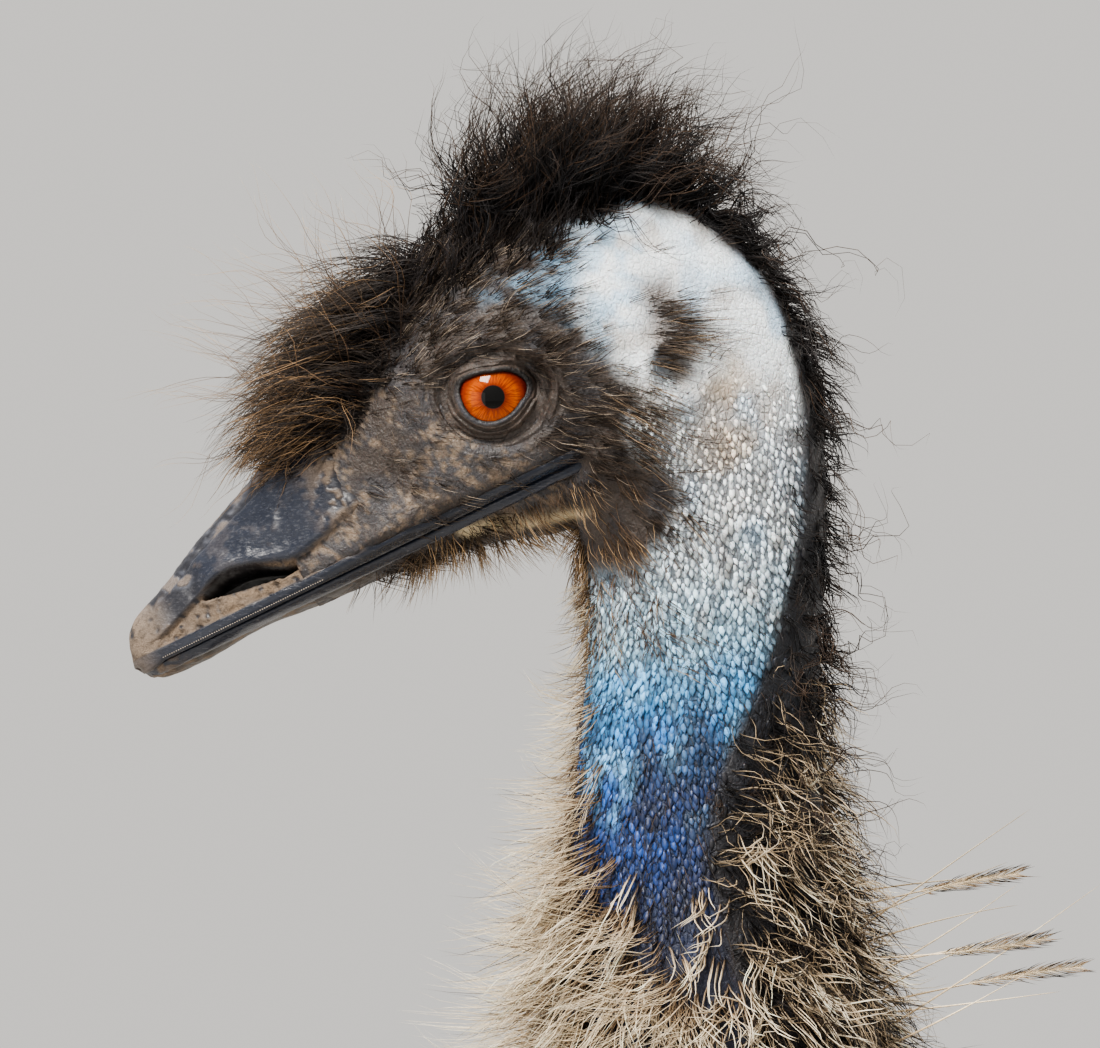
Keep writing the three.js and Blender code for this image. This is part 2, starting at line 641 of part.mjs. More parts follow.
const SIDES = [["left", -1], ["right", 1]];
const HORN = [0x2b2e38, 0.45];
const CLAW_HORN = [0x1c1a1a, 0.4];
const HEAD_SKIN = [0x3a3230, 0.8];
const NECK_SKIN = [0x9fc0d8, 0.6];
const IRIS = [0xc8500f, 0.1];
const EAR_HAIR = [0x2a2320, 0.9];
const COAT = [0x6b5847, 0.9];
const SCALES = [0x4a4440, 0.7];

// Flesh of head and neck with the face's openings cut in.
const front = cut(
  join([headForm(), neckForm(), ...SIDES.map(([, side]) => lidRing(side))]),
  mouthSlit(),
  ...SIDES.flatMap(([, side]) => [
    eyeHole(side),
    ball(EYE_RADIUS + GAP, eyeAt(side), [1, 1, 1], 0, 12),
    nostril(side),
    earCup(side),
  ]),
);

// Head and bill.
const skull = frontOf(front, headCut);
const isHead = (point) => inFront(headCut, point);
const crest = locksFrom(crestStarts, { surface: headPoint, flow: backFlow, inside: isHead, ...CREST }, 11);
const brow = locksFrom(browStarts, { surface: headPoint, flow: downBill, ...BROW }, 12);
add("bill_upper", skull.intersect(upperBillRoom()), ...HORN);
add("bill_lower", skull.intersect(lowerBillRoom()), ...HORN);
const face = cut(skull, upperBillRoom(GAP), lowerBillRoom(GAP));
add("head", join([face, ...made(crest), ...made(brow)]), ...HEAD_SKIN);

// Upper neck with the mane.
const neckTop = frontOf(behind(front, headCut), collarCut);
const isUpperNeck = (point) => !inFront(headCut, point) && inFront(collarCut, point);
const maneStarts = [-8, 12, 32, 52, 72].flatMap((drop, row) =>
  (row % 2 ? [-14, 14] : [-30, 0, 30]).map((turn) => [
    neckTurn(drop),
    Math.PI + THREE.MathUtils.degToRad(turn),
  ]),
);
const mane = locksFrom(
  maneStarts,
  { surface: manePoint, flow: down, inside: isUpperNeck, ...MANE },
  21,
);
add("neck_upper", join([neckTop, ...made(mane)]), ...NECK_SKIN);

// Where the coat's locks start: tiers down the neck and along the trunk, each set between the last.
const NECK_TIERS = { from: 122, to: 540, pitch: 72, across: 5 };
const neckStarts = [];
for (let row = 0; NECK_TIERS.from + row * NECK_TIERS.pitch < NECK_TIERS.to; row++) {
  for (let i = 0; i < NECK_TIERS.across; i++) {
    const turn = (i + (row % 2) / 2) / NECK_TIERS.across;
    neckStarts.push([neckTurn(NECK_TIERS.from + row * NECK_TIERS.pitch), turn * 2 * Math.PI]);
  }
}
const TRUNK_TIERS = { from: 0.055, columns: 6, pitch: 0.137, top: 76, rows: 5, step: 36 };
const trunkStarts = [];
for (let column = 0; column < TRUNK_TIERS.columns; column++) {
  for (let row = 0; row < TRUNK_TIERS.rows; row++) {
    const t = TRUNK_TIERS.from + (column + (row % 2) / 2) * TRUNK_TIERS.pitch;
    const angle = THREE.MathUtils.degToRad(TRUNK_TIERS.top - row * TRUNK_TIERS.step);
    trunkStarts.push([t, angle], [t, Math.PI - angle]);
  }
}

// Trunk and lower neck, one core under a coat of locks that hang down and back.
const NECK_COAT = { length: 112, wide: 74, thick: 7, round: 60 };
const BODY_COAT = { length: 196, wide: 118, thick: 10, round: 170 };
const hang = (point, out) =>
  new THREE.Vector3(0.8, Math.sign(point.y) * 0.5 * Math.max(0, out.z), -1);
function insideNeck(point) {
  const drop = EYE.z - point.z;
  const coat = neckCoat(drop) / 2;
  const depth = (point.x - EYE.x - neckX(drop)) / (neckDepth(drop) + coat);
  return drop < NECK_FOOT && Math.hypot(depth, point.y / (neckWide(drop) + coat)) < 0.95;
}
function insideTrunk(point) {
  const core = (t, angle) => trunkPoint(t, angle, 0);
  const t = (point.x - TRUNK[0].x) / 900;
  const [low, high] = [core(t, -Math.PI / 2).z, core(t, Math.PI / 2).z];
  const half = (high - low) / 2;
  const rise = (point.z - (low + high) / 2) / half;
  return Math.hypot(point.y / core(t, 0).y, rise) < 0.95;
}
function insideThigh(point) {
  const apart = (Math.abs(point.y) - LEG_SPREAD) / legWide(point.z);
  const depth = (point.x - LEG_X - legX(point.z)) / legDepth(point.z);
  return point.z < THIGH_TOP && Math.hypot(apart, depth) < 1;
}
const isTorso = (point) => !inFront(breastCut, point) && !inFront(rumpCut, point);
const isLowerNeck = (point) => !inFront(collarCut, point) && inFront(breastCut, point);
const onNeck = (test) =>
  neckStarts.filter(([t, angle]) => {
    const root = neckPoint(t, angle, 0);
    return test(root) && !insideTrunk(root);
  });
const onTrunk = (test) =>
  trunkStarts.filter(([t, angle]) => {
    const root = trunkPoint(t, angle, 0);
    return test(root) && !insideNeck(root) && !insideThigh(root);
  });
const neckLocks = locksFrom(onNeck(isLowerNeck), { surface: neckPoint, flow: down, ...NECK_COAT }, 31);
const breastLocks = locksFrom(onNeck(isTorso), { surface: neckPoint, flow: down, ...NECK_COAT }, 32);
const torsoLocks = locksFrom(onTrunk(isTorso), { surface: trunkPoint, flow: hang, ...BODY_COAT }, 41);
const isTail = (point) => inFront(rumpCut, point);
const tailLocks = locksFrom(onTrunk(isTail), { surface: trunkPoint, flow: hang, ...BODY_COAT }, 42);

// Locks that hang past a cut stay whole, and the part below is cut clear of those that come near.
const REACH = 80;
const trunk = join([trunkForm(), neckForm()]);
const neckFoot = join([frontOf(behind(trunk, collarCut), breastCut), ...made(neckLocks)]);
add("neck_lower", behind(neckFoot, collarCut), ...COAT);
const rear = behind(trunk, breastCut);
const torso = cut(
  behind(join([behind(rear, rumpCut), ...made(breastLocks), ...made(torsoLocks)]), breastCut),
  ...clearOf(neckLocks, (point) => depthPast(breastCut, point) < REACH),
  ...SIDES.flatMap(([, side]) => [wingForm(side, GAP), thighForm(side, GAP)]),
);
add("torso", torso, ...COAT);
const tail = frontOf(join([frontOf(rear, rumpCut), ...made(tailLocks)]), rumpCut);
add("tail", cut(tail, ...clearOf(torsoLocks, (point) => depthPast(rumpCut, point) > -REACH)), ...COAT);

const THIGH_LOCKS = { length: 92, wide: 54, thick: 7, round: 50 };
const thighStarts = [0.5, 0.74].flatMap((t, row) =>
  [0, 1, 2, 3].map((i) => [t, ((i + row / 2) / 4) * 2 * Math.PI]),
);
for (const [name, side] of SIDES) {
  add("eye_" + name, ball(EYE_RADIUS, eyeAt(side), [1, 1, 1], 0, 12), ...IRIS);
  add("ear_" + name, earForm(side), ...EAR_HAIR);
  add("wing_" + name, wingForm(side), ...COAT);
  const hair = locksFrom(thighStarts, { surface: thighPoint(side), flow: down, ...THIGH_LOCKS }, 51);
  add("thigh_" + name, join([cut(thighForm(side), trunkForm(GAP)), ...made(hair)]), ...COAT);
  add("shank_" + name, shankForm(side), ...SCALES);
  const foot = footForm(side).trimByPlane([0, 0, -1], GAP - SHANK_FOOT);
  add("foot_" + name, foot, ...SCALES);
  for (const toe of TOES) {
    const claw = cut(clawForm(side, toe), toeForm(side, toe, GAP));
    add("claw_" + name + "_" + toe.name, claw, ...CLAW_HORN);
  }
}

// Centres the model over its footprint and stands it on the floor.
const box = new THREE.Box3().setFromObject(bird);
const middle = box.getCenter(new THREE.Vector3());
bird.position.set(-middle.x, -middle.y, -box.min.z);

export default bird;
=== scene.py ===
"""An adult emu at life size, standing still with its neck up and its bill dipped.

Sizes are in millimetres from the middle of the head between the eyes: the bill points towards
-X, the bird's left side towards -Y and up is +Z. A mesh is turned to metres in the frame's own
axes when it is made. The bird's own left is the side that the camera sees.
"""

import logging
import math
from dataclasses import dataclass, field
from enum import Enum
from typing import Callable, Optional, Sequence

import bpy
import numpy as np
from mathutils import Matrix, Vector
from mathutils.bvhtree import BVHTree

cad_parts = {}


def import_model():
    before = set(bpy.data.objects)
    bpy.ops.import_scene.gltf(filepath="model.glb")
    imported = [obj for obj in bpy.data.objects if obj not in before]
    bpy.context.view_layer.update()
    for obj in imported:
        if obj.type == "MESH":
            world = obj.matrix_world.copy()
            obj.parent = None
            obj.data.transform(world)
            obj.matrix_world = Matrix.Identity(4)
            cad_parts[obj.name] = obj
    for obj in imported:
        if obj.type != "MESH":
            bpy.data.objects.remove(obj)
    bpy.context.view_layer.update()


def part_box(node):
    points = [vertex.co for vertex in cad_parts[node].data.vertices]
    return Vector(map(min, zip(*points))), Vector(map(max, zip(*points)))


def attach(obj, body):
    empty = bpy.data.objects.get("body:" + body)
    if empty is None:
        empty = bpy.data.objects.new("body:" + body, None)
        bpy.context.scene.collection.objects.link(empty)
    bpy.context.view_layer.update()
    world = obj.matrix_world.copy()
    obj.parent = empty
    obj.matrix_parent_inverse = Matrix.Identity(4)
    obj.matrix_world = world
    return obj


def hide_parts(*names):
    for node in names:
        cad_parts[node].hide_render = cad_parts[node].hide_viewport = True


LOG = logging.getLogger("emu")
Array = np.ndarray
Curve = Callable[[Array], Array]
Colour = tuple[float, float, float]
Socket = bpy.types.NodeSocket
Material = bpy.types.Material
Thing = bpy.types.Object

BODY = "root"
TAU = 2 * math.pi
TINY = 1e-9
MILLIMETRES = 1000.0
TUFT_PATCH = 0.003

BILL_DIP = math.radians(25.8)
EYE_ABOVE_MOUTH = 22.0
EYE_HEIGHT = 1550.0
EYE_FORWARD = 378.0
EYE_OUT = 18.5
EYE_RADIUS = 12.0


class Side(Enum):
    """The two sides of the bird, by the sign of Y."""

    LEFT = -1
    RIGHT = 1

    @property
    def label(self) -> str:
        """The side's name in lower case."""
        return self.name.lower()


# Small tools for numbers.


def along(pairs: Sequence[tuple[float, float]]) -> Curve:
    """Makes a smooth run through [place, value] pairs, held level past both ends.

    Args:
        pairs: Places in rising order, each with its value.

    Returns:
        A function that reads the value at an array of places.
    """
    at = np.array([place for place, _ in pairs], float)
    value = np.array([number for _, number in pairs], float)
    rise = np.diff(value) / np.diff(at)
    middle = (value[2:] - value[:-2]) / (at[2:] - at[:-2])
    slope = np.concatenate([rise[:1], middle, rise[-1:]])

    def read(place: Array) -> Array:
        """The value at places."""
        x = np.clip(np.asarray(place, float), at[0], at[-1])
        i = np.clip(np.searchsorted(at, x, side="right") - 1, 0, len(at) - 2)
        wide = at[i + 1] - at[i]
        t = (x - at[i]) / wide
        keep = (1 + 2 * t) * (1 - t) ** 2
        bend = t * (1 - t) ** 2 * slope[i] - t * t * (1 - t) * slope[i + 1]
        return keep * value[i] + (1 - keep) * value[i + 1] + wide * bend

    return read


def colours(*stops: tuple[float, Colour]) -> Callable[[Array], Array]:
    """Makes a smooth run of colours.

    Args:
        stops: Places in rising order, each with its colour.

    Returns:
        A function that reads the colours at an array of places.
    """
    parts = [along([(at, colour[i]) for at, colour in stops]) for i in range(3)]

    def read(place: Array) -> Array:
        """The colours at places."""
        return np.stack([part(place) for part in parts], axis=-1)

    return read


def smooth(low: float, high: float, x: Array) -> Array:
    """A soft step from 0 at low to 1 at high."""
    t = np.clip((np.asarray(x, float) - low) / (high - low), 0, 1)
    return t * t * (3 - 2 * t)


def bell(x: Array, middle: float, wide: float) -> Array:
    """A soft bump of height 1 about a middle."""
    return np.exp(-(((np.asarray(x, float) - middle) / wide) ** 2))


def unit(v: Array) -> Array:
    """Vectors scaled to length 1."""
    return v / np.maximum(np.linalg.norm(v, axis=-1, keepdims=True), TINY)


def mix(a: Array, b: Array, share: Array) -> Array:
    """A blend from a to b, which may be numbers or colours."""
    a, b, share = np.asarray(a, float), np.asarray(b, float), np.asarray(share, float)
    coloured = 3 in (a.shape[-1:] + b.shape[-1:])
    if coloured and share.ndim and share.shape[-1] != 1:
        share = share[..., None]
    return a * (1 - share) + b * share


def grain(points: Array, size: float, seed: int = 0) -> Array:
    """Smooth random values from 0 to 1 that vary over the given size.

    Args:
        points: Places, with a last axis of three.
        size: The distance over which the value changes.
        seed: Picks another pattern.

    Returns:
        One value for each place.
    """
    at = np.asarray(points, float) / size + 37.7 * seed
    cell = np.floor(at).astype(np.int64)
    part = at - cell
    part = part * part * (3 - 2 * part)
    total = np.zeros(at.shape[:-1])
    for corner in np.ndindex(2, 2, 2):
        spot = cell + np.array(corner)
        mixed = spot[..., 0] * 374761393 + spot[..., 1] * 668265263 + spot[..., 2] * 2147483647
        mixed = (mixed ^ (mixed >> 13)) * 1274126177
        value = ((mixed ^ (mixed >> 16)) & 0xFFFFFF) / float(0xFFFFFF)
        weight = np.ones(at.shape[:-1])
        for axis in range(3):
            weight = weight * (part[..., axis] if corner[axis] else 1 - part[..., axis])
        total += weight * value
    return total


def within(outline: Sequence[tuple[float, float]], x: Array, z: Array, soft: float) -> Array:
    """How far inside an outline in the side view places lie, from 0 outside to 1 inside.

    Args:
        outline: Corners as (x, z).
        x: Places along X.
        z: Places along Z.
        soft: The width of the soft edge.

    Returns:
        One share for each place.
    """
    corners = np.array(outline, float)
    inside = np.zeros(np.shape(x), bool)
    nearest = np.full(np.shape(x), 1e9)
    for a, b in zip(corners, np.roll(corners, -1, axis=0)):
        crosses = (a[1] > z) != (b[1] > z)
        gap = b[1] - a[1] if abs(b[1] - a[1]) > TINY else TINY
        inside ^= crosses & (x < (b[0] - a[0]) * (z - a[1]) / gap + a[0])
        run = b - a
        share = np.clip(((x - a[0]) * run[0] + (z - a[1]) * run[1]) / (run @ run), 0, 1)
        reach = np.hypot(x - a[0] - share * run[0], z - a[1] - share * run[1])
        nearest = np.minimum(nearest, reach)
    return smooth(-soft, soft, np.where(inside, nearest, -nearest))


# The head's own frame: ahead along the mouth line, and above it.

FORWARD = np.array([-math.cos(BILL_DIP), 0.0, -math.sin(BILL_DIP)])
UP = np.array([-math.sin(BILL_DIP), 0.0, math.cos(BILL_DIP)])


def in_head(ahead: Array, side: Array, above: Array) -> Array:
    """Places from the head's own frame."""
    ahead, side, above = np.broadcast_arrays(ahead, side, above)
    spot = FORWARD * ahead[..., None] + UP * (above[..., None] - EYE_ABOVE_MOUTH)
    spot[..., 1] = side
    return spot


def to_head(points: Array) -> tuple[Array, Array]:
    """How far ahead and how far above the mouth line places lie."""
    return points @ FORWARD, points @ UP + EYE_ABOVE_MOUTH


head_top = along([
    (-78, 26), (-72, 33), (-61, 46), (-45, 56), (-22, 62.5), (0, 60), (20, 52), (40, 41.5),
    (49, 36), (60, 30.6), (72, 25.2), (81, 21.4), (87, 18.2), (93.5, 15.0), (98, 13.3), (102, 11.2),
    (104.6, 8.4), (105.9, 5.6), (106.7, 3.0), (107, 1.4),
])
head_low = along([
    (-45, -14), (-22, -20), (0, -14), (18, -8.5), (35, -5.8), (49, -5), (72, -4.6),
    (95, -4.8), (103, -3.4), (106, 1),
])
head_wide = along([
    (-22, 30), (0, 29.5), (20, 25.5), (40, 21), (49, 19), (60, 16.8), (72, 14.8),
    (83, 12.8), (95, 9.9), (102, 7.3), (105, 5.0), (106.3, 3.0), (107, 1.0),
])
head_seat = along([(-22, 22), (0, 19), (20, 13), (40, 5), (55, 1.5), (103, 0.5), (106, 1.8)])
head_pinch = along([(-20, 0), (30, 0.06), (60, 0.16), (106, 0.1)])


# Meshes.


@dataclass
class Place:
    """Turns millimetres about the head into metres in the frame."""

    eye: Vector

    def metres(self, points: Array) -> Array:
        """Places in the frame, in metres."""
        return points / MILLIMETRES + np.array(self.eye)


@dataclass
class Shape:
    """Corners, faces and colours on their way to becoming a mesh."""

    points: Array
    faces: list[Array]
    tint: Optional[Array] = None
    extra: dict[str, Array] = field(default_factory=dict)
    uv: Optional[Array] = None

    @staticmethod
    def joined(parts: Sequence["Shape"]) -> "Shape":
        """One shape of several."""
        base = np.cumsum([0] + [len(part.points) for part in parts])
        faces = [f + base[i] for i, part in enumerate(parts) for f in part.faces]
        tints = [part.tint for part in parts]
        uvs = [part.uv for part in parts]
        names = set().union(*[part.extra for part in parts])
        blank = [np.zeros(len(part.points)) for part in parts]
        return Shape(
            np.concatenate([part.points for part in parts]),
            faces,
            None if any(t is None for t in tints) else np.concatenate(tints),
            {n: np.concatenate([p.extra.get(n, b) for p, b in zip(parts, blank)]) for n in sorted(names)},
            None if any(u is None for u in uvs) else np.concatenate(uvs),
        )


@dataclass
class Maker:
    """Builds the scene's objects and hands them to the frame."""

    place: Place
    triangles: int = 0

    def mesh(self, name: str, shape: Shape, finish: Optional[Material], local: bool = False) -> Thing:
        """Makes an object of a shape.

        Args:
            name: The piece's name.
            shape: What it is made of, in millimetres about the head.
            finish: Its material, if it has one yet.
            local: Whether the shape is in millimetres about its own middle instead.

        Returns:
            The new object, at the origin with its place in its mesh.
        """
        data = bpy.data.meshes.new(name)
        corners = np.concatenate([f.ravel() for f in shape.faces]).astype(np.int32)
        sizes = np.concatenate([np.full(len(f), f.shape[1]) for f in shape.faces]).astype(np.int32)
        starts = np.concatenate([[0], np.cumsum(sizes)[:-1]]).astype(np.int32)
        data.vertices.add(len(shape.points))
        points = shape.points / MILLIMETRES if local else self.place.metres(shape.points)
        data.vertices.foreach_set("co", points.astype(np.float32).ravel())
        data.loops.add(len(corners))
        data.loops.foreach_set("vertex_index", corners)
        data.polygons.add(len(sizes))
        data.polygons.foreach_set("loop_start", starts)
        data.polygons.foreach_set("use_smooth", np.full(len(sizes), True))
        self.carry(data, shape)
        data.update(calc_edges=True)
        if shape.uv is not None:
            layer = data.uv_layers.new(name="OFBake")
            layer.data.foreach_set("uv", shape.uv[corners].astype(np.float32).ravel())
        if finish is not None:
            data.materials.append(finish)
        return self.placed(name, data)

    def line(self, name: str, shape: Shape) -> Thing:
        """Makes an object of a line of edges, for a tree to string copies on."""
        data = bpy.data.meshes.new(name)
        count = len(shape.points)
        edges = [(k, k + 1) for k in range(count - 1)]
        data.from_pydata(self.place.metres(shape.points).tolist(), edges, [])
        self.carry(data, shape)
        return self.placed(name, data)

    @staticmethod
    def carry(data: bpy.types.Mesh, shape: Shape) -> None:
        """Writes a shape's colours and other values onto its mesh."""
        if shape.tint is not None:
            layer = data.attributes.new("tint", "FLOAT_COLOR", "POINT")
            full = np.concatenate([shape.tint, np.ones((len(shape.tint), 1))], axis=1)
            layer.data.foreach_set("color", full.astype(np.float32).ravel())
        for key, values in shape.extra.items():
            many = values.ndim == 2
            layer = data.attributes.new(key, "FLOAT_VECTOR" if many else "FLOAT", "POINT")
            layer.data.foreach_set("vector" if many else "value", values.astype(np.float32).ravel())

    @staticmethod
    def placed(name: str, data: bpy.types.Mesh) -> Thing:
        """Puts a mesh into the scene as an object."""
        piece = bpy.data.objects.new(name, data)
        bpy.context.scene.collection.objects.link(piece)
        return piece

    def keep(self, piece: Thing, slot: str, *nodes: str) -> Thing:
        """Lets a piece ride on the bird and stand for nodes."""
        piece.data.calc_loop_triangles()
        count = len(piece.data.loop_triangles)
        self.triangles += count
        LOG.info("%s: %d triangles", piece.name, count)
        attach(piece, BODY)
        if nodes:
            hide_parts(*nodes)
        return piece


def grid_faces(rows: int, columns: int) -> Array:
    """Four-sided faces between rows of points, the columns running round."""
    row, column = np.meshgrid(np.arange(rows - 1), np.arange(columns), indexing="ij")
    beside = (column + 1) % columns
    here, above = row * columns, (row + 1) * columns
    corners = [here + column, here + beside, above + beside, above + column]
    return np.stack(corners, axis=-1).reshape(-1, 4)


def shut(rows: int, columns: int, first: int, last: int) -> list[Array]:
    """Triangles that close both ends of a tube on a point each."""
    ring = np.arange(columns)
    beside = (ring + 1) % columns
    foot = (rows - 1) * columns
    one = np.stack([np.full(columns, first), beside, ring], axis=1)
    other = np.stack([np.full(columns, last), foot + ring, foot + beside], axis=1)
    return [one, other]


def closed_tube(rings: Array) -> tuple[Array, list[Array]]:
    """A closed tube through rings of points.

    Args:
        rings: Points as [ring, place round it, 3].

    Returns:
        All points, and the faces.
    """
    rows, columns = rings.shape[:2]
    ends = np.stack([rings[0].mean(0), rings[-1].mean(0)])
    points = np.concatenate([rings.reshape(-1, 3), ends])
    caps = shut(rows, columns, rows * columns, rows * columns + 1)
    return points, [grid_faces(rows, columns)] + caps


def outward(points: Array, faces: list[Array]) -> list[Array]:
    """Turns a closed shape's faces over where they point inwards."""
    volume = 0.0
    for group in faces:
        first = points[group[:, 0]]
        for k in range(1, group.shape[1] - 1):
            volume += float((first * np.cross(points[group[:, k]], points[group[:, k + 1]])).sum())
    return faces if volume > 0 else [group[:, ::-1] for group in faces]


# The skin: one tube from the base of the bill to the rump, its rings fanned round the throat.


@dataclass(frozen=True)
class Ring:
    """One ring of the skin in the side view, from the lower line to the upper."""

    top: tuple[float, float]
    low: tuple[float, float]
    wide: float
    seat: float = 0.5
    pinch: float = 0.0


def head_ring(ahead: float) -> Ring:
    """A ring across the head, square to the mouth line."""
    top, low = float(head_top(ahead)), float(head_low(ahead))
    ends = in_head(np.array([ahead, ahead]), np.zeros(2), np.array([top, low]))
    seat = (float(head_seat(ahead)) - low) / (top - low)
    high, deep = (ends[0, 0], ends[0, 2]), (ends[1, 0], ends[1, 2])
    return Ring(high, deep, float(head_wide(ahead)), seat, float(head_pinch(ahead)))


RINGS = [head_ring(a) for a in (60.0, 52.0, 44.0, 34.0, 24.0, 14.0, 4.0, -5.0)] + [
    Ring((8, 48.5), (21.5, -37.5), 30, 0.55),
    Ring((27, 51), (22.8, -42), 29.5, 0.52),
    Ring((46, 48), (23.4, -46.5), 28.5),
    Ring((62, 36.5), (23.6, -51), 28),
    Ring((72.5, 20), (23.5, -56), 27.5),
    Ring((78.5, 1), (23.2, -62), 27),
    Ring((80.5, -20), (22.6, -69), 26.4),
    Ring((80.2, -42), (21.8, -78), 26),
    Ring((79, -66), (20.8, -90), 26.4),
    Ring((79.5, -92), (19.4, -106), 27.8),
    Ring((83.5, -118), (17.6, -124), 30.2),
    Ring((90, -146), (15.6, -147), 34.5),
    Ring((97, -176), (14, -176), 38.5),
    Ring((108, -222), (12.4, -222), 44),
    Ring((123, -280), (13, -280), 51),
    Ring((150, -350), (18, -350), 62),
    Ring((190, -412), (22, -418), 78),
    Ring((240, -454), (20, -500), 104),
    Ring((296, -468), (38, -598), 132),
    Ring((345, -473), (96, -690), 154),
    Ring((395, -478), (190, -750), 166),
    Ring((450, -488), (300, -788), 174),
    Ring((510, -502), (420, -806), 174),
    Ring((578, -528), (530, -806), 162),
    Ring((640, -562), (620, -790), 142),
    Ring((704, -616), (680, -780), 112),
    Ring((748, -678), (716, -782), 74),
    Ring((768, -726), (742, -776), 34),
    Ring((772, -748), (760, -764), 10),
]
RING_STEP = along(
    [(0, 0.86), (110, 0.95), (200, 1.6), (290, 2.2), (360, 4), (620, 11), (1400, 20), (1800, 7)]
)
SKIN_COLUMNS = 168


@dataclass
class Surface:
    """A tube of skin as tables of points, with ways to read it between them."""

    points: Array
    normals: Array

    @staticmethod
    def of(points: Array) -> "Surface":
        """Reads the normals off a table of rings."""
        down = np.gradient(points, axis=0)
        around = np.roll(points, -1, axis=1) - np.roll(points, 1, axis=1)
        normals = unit(np.cross(around, down))
        middle = points.mean(1, keepdims=True)
        if float(((points - middle) * normals).sum(-1).mean()) < 0:
            normals = -normals
        return Surface(points, normals)

    @staticmethod
    def read(table: Array, row: Array, column: Array) -> Array:
        """Values of a table between its rows and columns."""
        rows, columns = table.shape[:2]
        row = np.clip(row, 0, rows - 1.001)
        column = np.mod(column, columns)
        i, j = row.astype(int), column.astype(int) % columns
        s, t = (row - i)[:, None], (column - np.floor(column))[:, None]
        beside = (j + 1) % columns
        low = table[i, j] * (1 - t) + table[i, beside] * t
        high = table[i + 1, j] * (1 - t) + table[i + 1, beside] * t
        return low * (1 - s) + high * s

    def scatter(
        self, count: int, keep: Callable[[Array, Array], Array], random: np.random.Generator
    ) -> "Roots":
        """Spreads roots evenly over the surface where a mask keeps them.

        Args:
            count: How many roots to return.
            keep: Gives the share kept at each (point, normal).
            random: The run of random numbers.

        Returns:
            The roots.
        """
        a = self.points[:-1]
        b = self.points[1:]
        side = np.roll(a, -1, axis=1) - a
        area = np.linalg.norm(np.cross(b - a, side), axis=-1)
        wide = np.maximum(area, 1e-6)
        middle = (a + b) / 2
        share = np.clip(keep(middle.reshape(-1, 3), self.normals[:-1].reshape(-1, 3)), 0, 1)
        weight = (wide.ravel() * share).cumsum()
        pick = np.searchsorted(weight, random.random(count) * weight[-1])
        pick = np.clip(pick, 0, len(weight) - 1)
        columns = self.points.shape[1]
        row = pick // columns + random.random(count)
        column = pick % columns + random.random(count)
        return Roots(self, row, column)


@dataclass
class Roots:
    """Places on a surface where feathers grow."""

    surface: Surface
    row: Array
    column: Array

    @property
    def points(self) -> Array:
        """Where they are."""
        return self.surface.read(self.surface.points, self.row, self.column)

    @property
    def normals(self) -> Array:
        """The way out of the skin at each."""
        return unit(self.surface.read(self.surface.normals, self.row, self.column))

    @property
    def patch(self) -> Array:
        """Their places on the unwrap of the skin."""
        rows, columns = self.surface.points.shape[:2]
        return np.stack([np.mod(self.column / columns, 1), self.row / rows], axis=1) * 0.96 + 0.02


